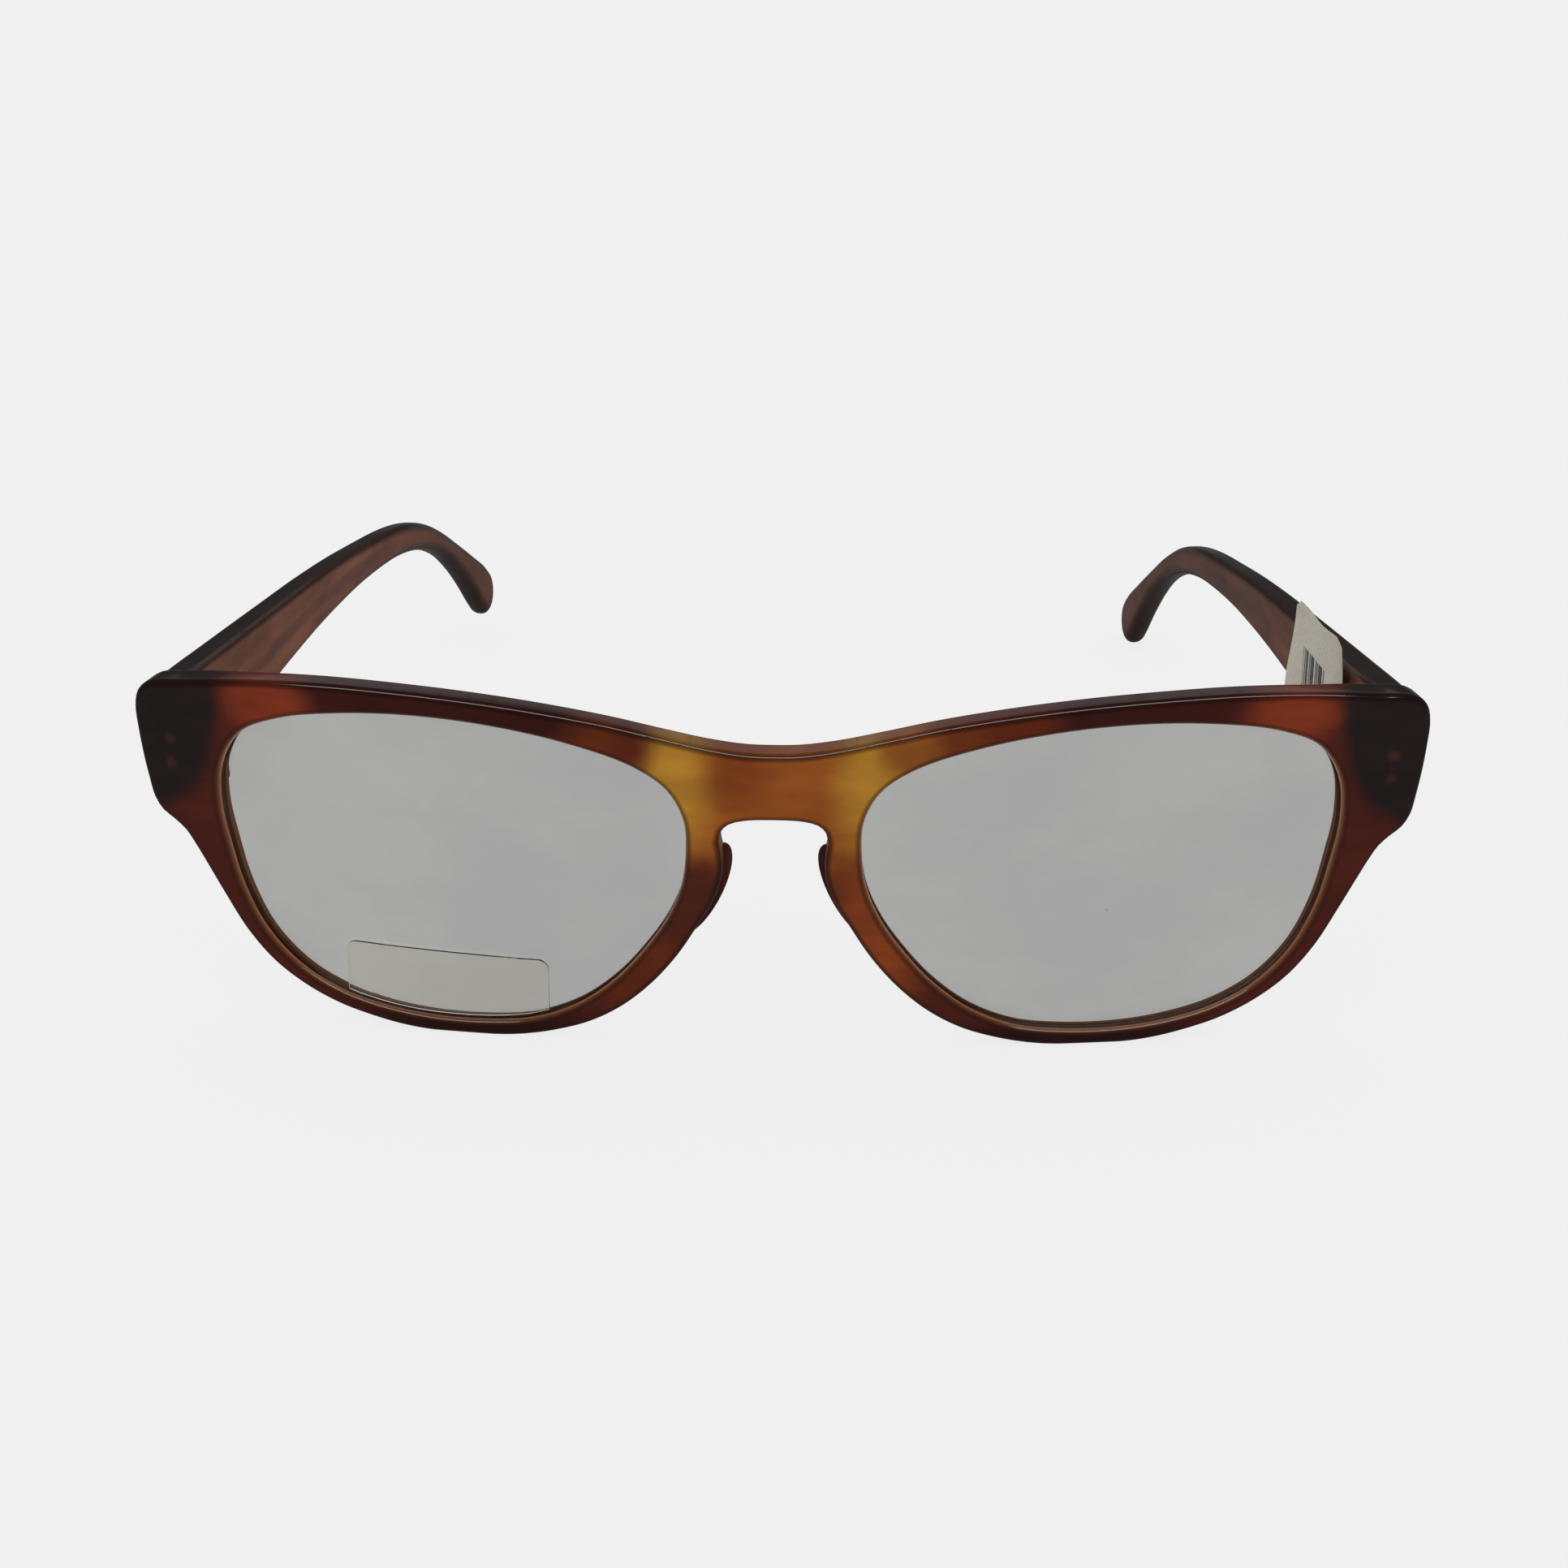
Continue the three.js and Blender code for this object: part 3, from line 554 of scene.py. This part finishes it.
def in_a_pocket(face, side):
    """Whether a face of the flat back lies over the room for a hinge leaf, on one side."""
    middle = face.calc_center_median()
    on_back = face.normal.z > 0.99 and middle.z > RIM_THICKNESS - 0.01
    return on_back and any(
        inner_s < side * middle.x < outer_s and low_h < middle.y < high_h
        for inner_s, outer_s, low_h, high_h in pockets
    )


for side in (1, -1):
    over = [f for f in bm.faces if in_a_pocket(f, side)]
    bmesh.ops.inset_region(
        bm, faces=over, thickness=POCKET_SLOPE, depth=-POCKET_DEPTH, use_even_offset=True
    )
for v in bm.verts:
    flat = v.co.copy()
    flat.z *= thickness_share(flat.x)
    v.co = bend(flat)
front = piece_from(bm, "acetate_front", tortoiseshell, "front", crease=35)
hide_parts("front_frame")

# ---------------------------------------------------------------------------
# The lenses.
# Two plano demonstration lenses of clear plastic with a light grey cast: shallow shells of one
# sphere, edged to the openings and snapped into the groove of each rim.
# ---------------------------------------------------------------------------
LENS_PITCH = 1.6
LENS_EDGE_PITCH = 1.0
LENS_REACH = (28, 20)
SPECKS_PER_MM = 0.22
SPECK_SIZE = 0.045


def lens_place(across, up, deep):
    """A place on the lens's own axes (mm) to its place in the frame, for the left lens."""
    turn = LENS_S / BEND_RADIUS
    x = BEND_RADIUS * math.sin(turn) + across * math.cos(turn) - deep * math.sin(turn)
    y = BEND_RADIUS * (1 - math.cos(turn)) + across * math.sin(turn) + deep * math.cos(turn)
    return Vector((x, y + FRONT_FACE_Y, LENS_H + up)) * MM


clear_plastic, tree, shader = new_material(
    "lens_clear_plastic", IOR=1.5, Transmission_Weight=1.0, Specular_IOR_Level=0.35
)
place = millimetres(tree)
cells = node(
    tree, "TexVoronoi", {"Vector": place, "Scale": SPECKS_PER_MM, "Randomness": 1.0},
    feature="F1",
).outputs
speck = spread(tree, cells["Distance"], SPECK_SIZE * 0.6, SPECK_SIZE, 1.0, 0.0)
chosen = node(tree, "SeparateColor", {0: cells["Color"]}).outputs[0]
speck = maths(tree, "MULTIPLY", speck, maths(tree, "GREATER_THAN", chosen, 0.72))
haze = noise(tree, stretched(tree, place, (0.05, 0.05, 0.07)), 1.0, 4.0, 0.6)
tint = mixed(tree, spread(tree, haze, 0.35, 0.65), colour(176, 177, 176), colour(184, 185, 182))
tint = mixed(tree, maths(tree, "MULTIPLY", speck, 0.6), tint, colour(90, 88, 82))
tree.links.new(tint, shader.inputs["Base Color"])
smear = spread(tree, haze, 0.5, 0.8, 0.0, 0.015)
gloss = maths(tree, "MULTIPLY_ADD", speck, 0.3, smear)
tree.links.new(gloss, shader.inputs["Roughness"])

for word, mirror in (("left", 1), ("right", -1)):
    bm = bmesh.new()
    rim = smooth_path(APERTURE, LENS_EDGE_PITCH, closed=True)
    grown = []
    for i in range(len(rim)):
        along = (rim[(i + 1) % len(rim)] - rim[i - 1]).normalized()
        grown.append(rim[i] + Vector((along.y, -along.x)) * LENS_BITE)
    corners = [bm.verts.new((p.x - LENS_S, p.y - LENS_H, 0)) for p in grown]
    edges = [bm.edges.new((corners[i - 1], corners[i])) for i in range(len(corners))]
    bmesh.ops.triangle_fill(bm, use_beauty=True, edges=edges)
    for direction, reach in zip((across, up), LENS_REACH):
        cut_across(bm, steps_between(-reach, reach, LENS_PITCH), direction)
    bmesh.ops.recalc_face_normals(bm, faces=bm.faces[:])
    if bm.faces[:][0].normal.z < 0:
        bmesh.ops.reverse_faces(bm, faces=bm.faces[:])
    back = bmesh.ops.extrude_face_region(bm, geom=bm.faces[:])["geom"]
    back = {v for v in back if isinstance(v, bmesh.types.BMVert)}
    for v in bm.verts:
        sag = (v.co.x ** 2 + v.co.y ** 2) / (2 * LENS_SPHERE)
        deep = LENS_SETBACK + sag + (LENS_THICKNESS if v in back else 0)
        v.co = lens_place(v.co.x, v.co.y, deep)
        v.co.x *= mirror
    lens = piece_from(bm, f"lens_plastic_{word}", clear_plastic, "front", crease=40)
    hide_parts(f"lens_{word}")

# ---------------------------------------------------------------------------
# The film.
# A small rounded patch of clear adhesive film left low on the right lens, cut along the rim. It is
# barely tinted, so it shows as a faint patch, and its cut edges get painted shade as fine dark lines.
# ---------------------------------------------------------------------------
film_clear, tree, shader = new_material(
    "film_clear", IOR=1.3, Transmission_Weight=0.985, Specular_IOR_Level=0.2
)
place = millimetres(tree)
turn = LENS_S / BEND_RADIUS
facing = node(
    tree, "VectorMath",
    {0: node(tree, "NewGeometry").outputs["True Normal"], 1: (math.sin(turn), math.cos(turn), 0)},
    operation="DOT_PRODUCT",
).outputs["Value"]
# Painted shade: the cut edges, faces turned well away from the lens's facing, are darkened.
cut_edge_shade = maths(tree, "LESS_THAN", maths(tree, "ABSOLUTE", facing), 0.6)
milk = noise(tree, place, 0.4, 4.0, 0.6)
tint = mixed(tree, milk, colour(238, 236, 229), colour(245, 243, 236))
tint = mixed(tree, cut_edge_shade, tint, colour(96, 92, 84))
tree.links.new(tint, shader.inputs["Base Color"])
tree.links.new(spread(tree, milk, 0.3, 0.8, 0.02, 0.08), shader.inputs["Roughness"])
frame["nodes"]["lens_film"].data.materials.clear()
frame["nodes"]["lens_film"].data.materials.append(film_clear)

# ---------------------------------------------------------------------------
# The nose pads.
# Solid acetate pads, each half an egg, bonded to the back of the rim beside the bridge and
# polished over, in the darkest brown of the sheet that the front was cut from.
# ---------------------------------------------------------------------------
PAD = {"s": 8, "h": 17.2, "half_width": 2.1, "half_length": 6.2, "rise": 4.4, "base": 4.35}
PAD_SUNK = 0.6
PAD_LEAN = 26
pad_brown, tree, shader = new_material("pad_brown_acetate", IOR=1.49)
place = millimetres(tree)
veins = noise(tree, stretched(tree, place, (0.3, 0.3, 0.12)), 1.0, 4.0, 0.6)
shade = mixed(tree, spread(tree, veins, 0.35, 0.7), colour(84, 36, 22), colour(50, 20, 14))
finish_acetate(tree, shader, place, shade, 0.14, 0.12)
for word, mirror in (("left", 1), ("right", -1)):
    bm = bmesh.new()
    bmesh.ops.create_uvsphere(bm, u_segments=48, v_segments=32, radius=1)
    size = (PAD["half_width"], PAD["half_length"], PAD["rise"])
    bmesh.ops.scale(bm, vec=size, verts=bm.verts[:])
    lean = Matrix.Rotation(math.radians(PAD_LEAN), 3, "Z")
    bmesh.ops.rotate(bm, cent=(0, 0, 0), matrix=lean, verts=bm.verts[:])
    centre = (PAD["s"], PAD["h"], PAD["base"] - PAD_SUNK)
    bmesh.ops.translate(bm, vec=centre, verts=bm.verts[:])
    cut = bmesh.ops.bisect_plane(
        bm, geom=bm.verts[:] + bm.edges[:] + bm.faces[:], dist=ON_PLANE,
        plane_co=(0, 0, PAD["base"]), plane_no=(0, 0, 1), clear_inner=True,
    )
    rim = [e for e in cut["geom_cut"] if isinstance(e, bmesh.types.BMEdge)]
    bmesh.ops.edgeloop_fill(bm, edges=rim)
    for v in bm.verts:
        v.co = bend(v.co)
        v.co.x *= mirror
    pad = piece_from(bm, f"acetate_pad_{word}", pad_brown, "front")
    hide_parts(f"nose_pad_{word}")

# ---------------------------------------------------------------------------
# The hinges.
# Five-knuckle barrel hinges of nickel silver: one leaf sunk in the end-piece and held by two
# anchor pins, one leaf on the temple, and a slotted screw down the barrel.
# ---------------------------------------------------------------------------
nickel, tree, shader = new_material("nickel_silver", Metallic=1.0)
place = millimetres(tree)
draw_lines = noise(tree, stretched(tree, place, (1.2, 1.2, 14.0)), 1.0, 3.0, 0.6)
tarnish = noise(tree, place, 0.7, 4.0, 0.6)
shade = mixed(tree, spread(tree, tarnish, 0.42, 0.72), colour(198, 192, 180), colour(142, 128, 104))
tree.links.new(shade, shader.inputs["Base Color"])
rough = maths(tree, "MULTIPLY_ADD", draw_lines, 0.16, 0.2)
tree.links.new(maths(tree, "MULTIPLY_ADD", tarnish, 0.12, rough), shader.inputs["Roughness"])
drawn = node(tree, "Bump", {"Height": draw_lines, "Strength": 0.12, "Distance": 0.05 * MM})
tree.links.new(drawn.outputs[0], shader.inputs["Normal"])

screw_steel, tree, shader = new_material("screw_steel", Metallic=1.0)
place = millimetres(tree)
wear = noise(tree, place, 1.6, 4.0, 0.6)
turned = noise(tree, stretched(tree, place, (2.0, 2.0, 20.0)), 1.0, 2.0)
shade = mixed(tree, spread(tree, wear, 0.4, 0.7), colour(176, 172, 164), colour(104, 98, 90))
tree.links.new(shade, shader.inputs["Base Color"])
tree.links.new(maths(tree, "MULTIPLY_ADD", wear, 0.25, 0.18), shader.inputs["Roughness"])
cut_rings = node(tree, "Bump", {"Height": turned, "Strength": 0.15, "Distance": 0.04 * MM})
tree.links.new(cut_rings.outputs[0], shader.inputs["Normal"])


def broken_edges(cad, material, width, segments=2):
    """A CAD node kept as it is, its loose triangles joined and its sharp edges just broken."""
    made = frame["nodes"][cad]
    made.data.materials.clear()
    made.data.materials.append(material)
    made.data.polygons.foreach_set("use_smooth", [True] * len(made.data.polygons))
    joined = made.modifiers.new("joined", "WELD")
    joined.merge_threshold = 1e-6
    edges = made.modifiers.new("broken_edges", "BEVEL")
    edges.width = width * MM
    edges.segments = segments
    edges.limit_method = "ANGLE"
    edges.angle_limit = math.radians(40)
    edges.harden_normals = True


for word in ("left", "right"):
    broken_edges(f"hinge_front_leaf_{word}", nickel, 0.07)
    broken_edges(f"hinge_temple_leaf_{word}", nickel, 0.07)
    broken_edges(f"hinge_screw_{word}", screw_steel, 0.05)
    for height in ("lower", "upper"):
        broken_edges(f"anchor_pin_{height}_{word}", nickel, 0.06)

# ---------------------------------------------------------------------------
# The temples.
# Flat bars of brown tortoiseshell acetate shot over a wire core, thinner towards the ear end,
# which is heated and dropped behind the ear. The cut face meets the end-piece of the front.
# ---------------------------------------------------------------------------
TEMPLE_TOP = [
    (-5, 39.1), (2.5, 38.5), (10, 37.8), (20, 36.9), (30, 36.0), (42, 34.9), (54, 33.5),
    (65, 31.9), (75, 30.3), (84, 28.3), (91, 26.0), (99, 22.3), (107, 17.8), (115, 13.1),
]
TEMPLE_TIP = [(121.5, 9.1), (124.1, 6.6), (124.4, 3.9), (122.9, 1.9), (120.6, 1.5), (118.2, 3.2)]
TEMPLE_LOW = [
    (113, 8.0), (107, 13.0), (101, 17.2), (96, 19.9), (91, 22.0), (85, 23.9), (78, 25.5),
    (70, 26.7), (60, 27.7), (51, 28.1), (42, 28.2), (30, 27.9), (20, 27.4), (10, 26.5),
    (3, 25.7), (-5, 24.9),
]
TEMPLE_THICKNESS = 3.7
TEMPLE_THIN_SHARE = 3.2 / 3.7
TEMPLE_THIN_FROM = 60
TEMPLE_INNER_FACE = 1.75
ROOT_ROUND = 0.9
EAR_ROUND = 1.6
BUTT_SETBACK = 1.35
BUTT_ROUND = 0.25
TEMPLE_PITCH = 1.2
TEMPLE_STRIP = 5
TEMPLE_STRIPS_END = 124
CHART = 100
BUTT_ANGLE = math.degrees(64.4 / BEND_RADIUS) - 6.45
SET_LEVEL = 32
TEMPLE_STANCE = {"left": (7.8, -0.66), "right": (6.45, 0.85)}
WIRE_PATH = [(-1, 31.9), (14, 31.9), (40, 31.6), (62, 29.9), (76, 27.9)]
hinges = {joint["child"]: Vector(joint["pos_m"]) for joint in frame["joints"]}


def bar_round(p):
    """How far a temple's edges are rounded: lightly at the hinge, almost fully at the ear."""
    return ROOT_ROUND + (EAR_ROUND - ROOT_ROUND) * smoothstep(p.x, 50, 110)


def temple_place(word):
    """From a temple's own axes (out, back, up, in mm) to the frame, as it stands open."""
    side = 1 if word == "left" else -1
    toe_in, tip = TEMPLE_STANCE[word]
    level = Matrix.Translation((0, 0, SET_LEVEL))
    tipped = level @ Matrix.Rotation(math.radians(tip), 4, "X") @ level.inverted()
    handed = Matrix.Diagonal((side, 1, 1, 1))
    opened = Matrix.Rotation(side * math.radians(toe_in), 4, "Z")
    hinge = hinges[f"temple_{word}"]
    stand = Matrix.Translation((hinge.x, hinge.y, 0)) @ Matrix.Scale(MM, 4)
    return stand @ opened @ handed @ tipped


def temple_material(name, inside, deep):
    """Acetate that is a milky brown inside and darker outside, with the wire showing faintly, and
    painted shade on its top and bottom walls.
    """
    made, tree, shader = new_material(name, IOR=1.49)
    place = millimetres(tree)
    chart = node(tree, "UVMap").outputs[0]
    back, level = node(tree, "SeparateXYZ", {0: chart}).outputs[:2]
    flow = stretched(tree, chart, (5.0, 16.0, 1.0))
    streaks = noise(tree, flow, 1.0, 5.0, 0.6)
    inner = node(tree, "Attribute", attribute_name="inner_face").outputs["Fac"]
    milky = mixed(tree, spread(tree, streaks, 0.35, 0.7), inside, deep)
    clouds = noise(tree, stretched(tree, chart, (3.2, 5.0, 1.0)), 1.0, 3.0, 0.5)
    outer = mixed(tree, spread(tree, clouds, 0.42, 0.6), colour(74, 28, 19), colour(38, 22, 20))
    amber = noise(tree, stretched(tree, chart, (2.1, 2.4, 1.0)), 1.0, 2.0, 0.5)
    outer = mixed(tree, spread(tree, amber, 0.6, 0.72, 0, 0.8), outer, colour(118, 56, 22))
    root = spread(tree, back, 0.03, 0.16, 1.0, 0.0)
    outer = mixed(tree, root, outer, colour(36, 25, 25))
    shade = mixed(tree, inner, outer, milky)
    axis = node(tree, "FloatCurve", {"Value": back})
    curve = axis.mapping.curves[0]
    for i, (along, up) in enumerate(WIRE_PATH):
        spot = (max(0, along) / CHART, up / CHART)
        if i < 2:
            curve.points[i].location = spot
        else:
            curve.points.new(*spot)
    axis.mapping.use_clip = False
    axis.mapping.update()
    off_wire = maths(tree, "ABSOLUTE", maths(tree, "SUBTRACT", level, axis.outputs[0]))
    wire = spread(tree, off_wire, 0.004, 0.011, 1.0, 0.0)
    wire = maths(tree, "MULTIPLY", wire, spread(tree, back, 0.72, 0.78, 0.45, 0.0))
    shade = mixed(tree, maths(tree, "MULTIPLY", wire, inner), shade, colour(70, 38, 30))
    ear = spread(tree, back, 0.55, 1.15)
    shade = mixed(tree, maths(tree, "MULTIPLY", ear, 0.8), shade, colour(78, 36, 19))
    # Painted shade: the top and bottom walls of the bar darkened to near black.
    edge = node(tree, "Attribute", attribute_name="bar_edge_shade").outputs["Fac"]
    shade = mixed(tree, maths(tree, "MULTIPLY", edge, 0.9), shade, colour(26, 17, 14))
    finish_acetate(tree, shader, place, shade, 0.16, 0.12)
    return made


TEMPLE_FINISH = {
    "left": (colour(108, 60, 39), colour(74, 37, 25)),
    "right": (colour(124, 74, 52), colour(98, 53, 36)),
}
for word in ("left", "right"):
    bm = bmesh.new()
    masks = {name: bm.verts.layers.float.new(name) for name in ("edge_shade_share", "wall_glow_share")}
    run = [*TEMPLE_TOP, *TEMPLE_TIP, *TEMPLE_LOW]
    loop = list(reversed(smooth_path(run, TEMPLE_PITCH)))
    # The temple's rounded edges carry the same shares of painted shade, and no painted glow.
    inner_half = [
        (lambda p, k=inset: k * bar_round(p), lambda p, k=depth: k * bar_round(p), shade_share, 0)
        for inset, depth, shade_share in quarter_round(1, TEMPLE_THICKNESS)
    ]
    outer_half = [
        (inset, lambda p, d=depth: TEMPLE_THICKNESS - d(p), shade_share, 0)
        for inset, depth, shade_share, _ in reversed(inner_half)
    ]
    first, last = wall(bm, loop, [*inner_half, *outer_half], masks)
    close_with_faces(bm, [first])
    close_with_faces(bm, [last])
    cut_across(bm, steps_between(run[0][0], TEMPLE_STRIPS_END, TEMPLE_STRIP), across)
    inner_face = bm.verts.layers.float.new("inner_face")
    bar_edge_shade = bm.verts.layers.float.new("bar_edge_shade")
    chart = bm.loops.layers.uv.new("chart")
    for v in bm.verts:
        v[inner_face] = 1 - smoothstep(v.co.z, 0.2, 1.4)
        # Share of painted shade: full on the walls between the two faces, none on the faces.
        v[bar_edge_shade] = min(smoothstep(v.co.z, 0, 0.7), smoothstep(TEMPLE_THICKNESS - v.co.z, 0, 0.7))
    for face in bm.faces:
        for corner in face.loops:
            corner[chart].uv = (corner.vert.co.x / CHART, corner.vert.co.y / CHART)
    for v in bm.verts:
        back, level, deep = v.co
        share = 1 + (TEMPLE_THIN_SHARE - 1) * smoothstep(back, 0, TEMPLE_THIN_FROM)
        v.co = (TEMPLE_INNER_FACE + deep * share, back, level)
    turn = math.radians(BUTT_ANGLE)
    square_on = Vector((-math.sin(turn), math.cos(turn), 0))
    cut = bmesh.ops.bisect_plane(
        bm, geom=bm.verts[:] + bm.edges[:] + bm.faces[:], dist=ON_PLANE,
        plane_co=-square_on * BUTT_SETBACK, plane_no=square_on, clear_inner=True,
    )
    butt = [e for e in cut["geom_cut"] if isinstance(e, bmesh.types.BMEdge)]
    bmesh.ops.edgeloop_fill(bm, edges=butt)
    bmesh.ops.bevel(
        bm, geom=butt, offset=BUTT_ROUND, offset_type="OFFSET", segments=3, profile=0.5,
        affect="EDGES", clamp_overlap=True, material=-1,
    )
    bmesh.ops.transform(bm, matrix=temple_place(word), verts=bm.verts[:])
    finish = temple_material(f"temple_tortoiseshell_{word}", *TEMPLE_FINISH[word])
    bar = piece_from(
        bm, f"acetate_temple_{word}", finish, f"temple_{word}", crease=35
    )
    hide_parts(f"temple_{word}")
    broken_edges(f"core_wire_{word}", nickel, 0.06)

# ---------------------------------------------------------------------------
# The label.
# A doubled slip of off-white paper stuck on the inner face of the left temple near the hinge,
# standing above its top edge, with a rubbed corner and a printed block of plain stripes.
# ---------------------------------------------------------------------------
LABEL_OUTLINE = [
    (6.6, 26.2), (30.1, 27.2), (29.6, 30), (26.4, 39.1), (24.8, 40.1), (14.8, 40.3), (10.4, 40.6),
    (8.4, 40), (7.9, 37.2),
]
LABEL_THICKNESS = 0.5
LABEL_GAP = 0.35
LABEL_PITCH = 0.8
LABEL_BACK = (6.6, 30.1)
LABEL_UP = (26, 41)
LABEL_CURL = 0.25
LABEL_WAVE = 0.12
STRIPES_PER_MM = 1.6
paper, tree, shader = new_material("label_paper", Specular_IOR_Level=0.2)
place = millimetres(tree)
chart = node(tree, "UVMap").outputs[0]
back, level = node(tree, "SeparateXYZ", {0: chart}).outputs[:2]
fibre = noise(tree, stretched(tree, place, (1.5, 1.5, 4.0)), 1.0, 5.0, 0.7)
shade = mixed(tree, spread(tree, fibre, 0.3, 0.75), colour(196, 192, 180), colour(176, 171, 158))
grubby = noise(tree, place, 0.12, 3.0)
shade = mixed(tree, spread(tree, grubby, 0.5, 0.8, 0, 0.35), shade, colour(160, 148, 124))
bars = node(tree, "CombineXYZ", {0: maths(tree, "MULTIPLY", back, STRIPES_PER_MM * CHART)}).outputs[0]
bars = node(tree, "TexNoise", {"Vector": bars, "Scale": 1.0, "Detail": 0.0}).outputs["Fac"]
ink = maths(tree, "GREATER_THAN", bars, 0.46)
from_near = spread(tree, back, 0.146, 0.148)
inside = maths(tree, "MULTIPLY", from_near, spread(tree, back, 0.231, 0.233, 1.0, 0.0))
below = spread(tree, level, 0.350, 0.352, 1.0, 0.0)
ink = maths(tree, "MULTIPLY", maths(tree, "MULTIPLY", ink, inside), below)
ink = maths(tree, "MULTIPLY", ink, spread(tree, fibre, 0.2, 0.5, 0.6, 0.95))
printed = node(tree, "Attribute", attribute_name="printed").outputs["Fac"]
shade = mixed(tree, maths(tree, "MULTIPLY", ink, printed), shade, colour(62, 64, 66))
tree.links.new(shade, shader.inputs["Base Color"])
tree.links.new(spread(tree, fibre, 0.2, 0.8, 0.72, 0.92), shader.inputs["Roughness"])
tooth = node(tree, "Bump", {"Height": fibre, "Strength": 0.25, "Distance": 0.05 * MM})
tree.links.new(tooth.outputs[0], shader.inputs["Normal"])

bm = bmesh.new()
corners = [bm.verts.new((u, z, 0)) for u, z in LABEL_OUTLINE]
edges = [bm.edges.new((corners[i - 1], corners[i])) for i in range(len(corners))]
bmesh.ops.triangle_fill(bm, use_beauty=True, edges=edges)
cut_across(bm, steps_between(*LABEL_BACK, LABEL_PITCH), across)
cut_across(bm, steps_between(*LABEL_UP, LABEL_PITCH), up)
bmesh.ops.recalc_face_normals(bm, faces=bm.faces[:])
if bm.faces[:][0].normal.z < 0:
    bmesh.ops.reverse_faces(bm, faces=bm.faces[:])
raised = bmesh.ops.extrude_face_region(bm, geom=bm.faces[:])["geom"]
raised = {v for v in raised if isinstance(v, bmesh.types.BMVert)}
printed = bm.verts.layers.float.new("printed")
chart = bm.loops.layers.uv.new("chart")
for face in bm.faces:
    for corner in face.loops:
        corner[chart].uv = (corner.vert.co.x / CHART, corner.vert.co.y / CHART)
for v in bm.verts:
    back, level, _ = v.co
    wave = LABEL_WAVE * math.sin(back / 2) * smoothstep(level, 34, 41)
    curl = LABEL_CURL * smoothstep(level, 36, 41) + wave
    lift = LABEL_THICKNESS if v in raised else 0
    v[printed] = 0 if v in raised else 1
    v.co = (TEMPLE_INNER_FACE - LABEL_GAP - LABEL_THICKNESS + lift - curl, back, level)
bmesh.ops.transform(bm, matrix=temple_place("left"), verts=bm.verts[:])
slip = piece_from(bm, "paper_slip", paper, "temple_left", crease=40)
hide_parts("paper_label")

# ---------------------------------------------------------------------------
# The table, the light and the camera.
# A wide pale table, an even pale room, a window behind and a lamp overhead. What the polish
# mirrors is dimmer than the room, as on a bench with the viewer's own shade in front.
# ---------------------------------------------------------------------------
PALE = 0.876
MIRRORED = 0.06
bm = bmesh.new()
bmesh.ops.create_grid(bm, x_segments=2, y_segments=2, size=4)
table_mesh = bpy.data.meshes.new("table_top")
bm.to_mesh(table_mesh)
bm.free()
table_top = bpy.data.objects.new("table_top", table_mesh)
scene.collection.objects.link(table_top)
table_top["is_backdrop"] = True
table_finish = bpy.data.materials.new("table_pale")
table_finish.use_nodes = True
tree = table_finish.node_tree
tree.nodes.clear()
ray = node(tree, "LightPath").outputs
mirrored = maths(tree, "SUBTRACT", ray["Is Glossy Ray"], ray["Is Transmission Ray"])
strength = spread(tree, mirrored, 0, 1, PALE * 0.93, MIRRORED, soft=False)
glow = node(tree, "Emission", {"Color": (1, 1, 1, 1), "Strength": strength})
matt = node(tree, "BsdfDiffuse", {"Color": (0.07, 0.07, 0.07, 1)})
both = node(tree, "AddShader", {0: glow.outputs[0], 1: matt.outputs[0]})
node(tree, "OutputMaterial", {"Surface": both.outputs[0]})
table_mesh.materials.append(table_finish)

room = bpy.data.worlds.new("room")
scene.world = room
room.use_nodes = True
tree = room.node_tree
tree.nodes.clear()
ray = node(tree, "LightPath").outputs
mirrored = maths(tree, "SUBTRACT", ray["Is Glossy Ray"], ray["Is Transmission Ray"])
strength = spread(tree, mirrored, 0, 1, PALE, MIRRORED, soft=False)
sky = node(tree, "Background", {"Color": (1, 1, 1, 1), "Strength": strength})
node(tree, "OutputWorld", {"Surface": sky.outputs[0]})


def soft_light(name, at, size, brightness, aim=(0, 0, 0.02)):
    """An oblong soft light facing the piece, as bright as asked whatever its size."""
    lamp = bpy.data.lights.new(name, "AREA")
    lamp.shape = "RECTANGLE"
    lamp.size, lamp.size_y = size
    lamp.energy = brightness * math.pi * size[0] * size[1]
    made = bpy.data.objects.new(name, lamp)
    made.location = at
    made.rotation_euler = (Vector(aim) - Vector(at)).to_track_quat("-Z", "Y").to_euler()
    made.visible_diffuse = False
    scene.collection.objects.link(made)


soft_light("window", (0, 0.9, 0.42), (1.2, 0.12), 0.25)
soft_light("ceiling_lamp", (0.03, -0.22, 0.75), (0.9, 0.16), 5.0)

CAMERA_AT = Vector((0.01301, -0.32901, 0.14234))
YAW, PITCH, ROLL = (math.radians(angle) for angle in (2.6, 23.0, -0.25))
forward = Vector(
    (-math.sin(YAW) * math.cos(PITCH), math.cos(YAW) * math.cos(PITCH), -math.sin(PITCH))
)
level_right = forward.cross(Vector((0, 0, 1))).normalized()
level_up = level_right.cross(forward)
right = math.cos(ROLL) * level_right + math.sin(ROLL) * level_up
upward = math.cos(ROLL) * level_up - math.sin(ROLL) * level_right
camera = bpy.data.cameras.new("camera")
camera.lens = 61.5
camera.sensor_width = 36
camera.clip_start = 0.01
viewer = bpy.data.objects.new("camera", camera)
turned = Matrix((right, upward, -forward)).transposed().to_4x4()
viewer.matrix_world = Matrix.Translation(CAMERA_AT) @ turned
scene.collection.objects.link(viewer)
scene.camera = viewer
scene.view_settings.view_transform = "Standard"

low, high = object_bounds()
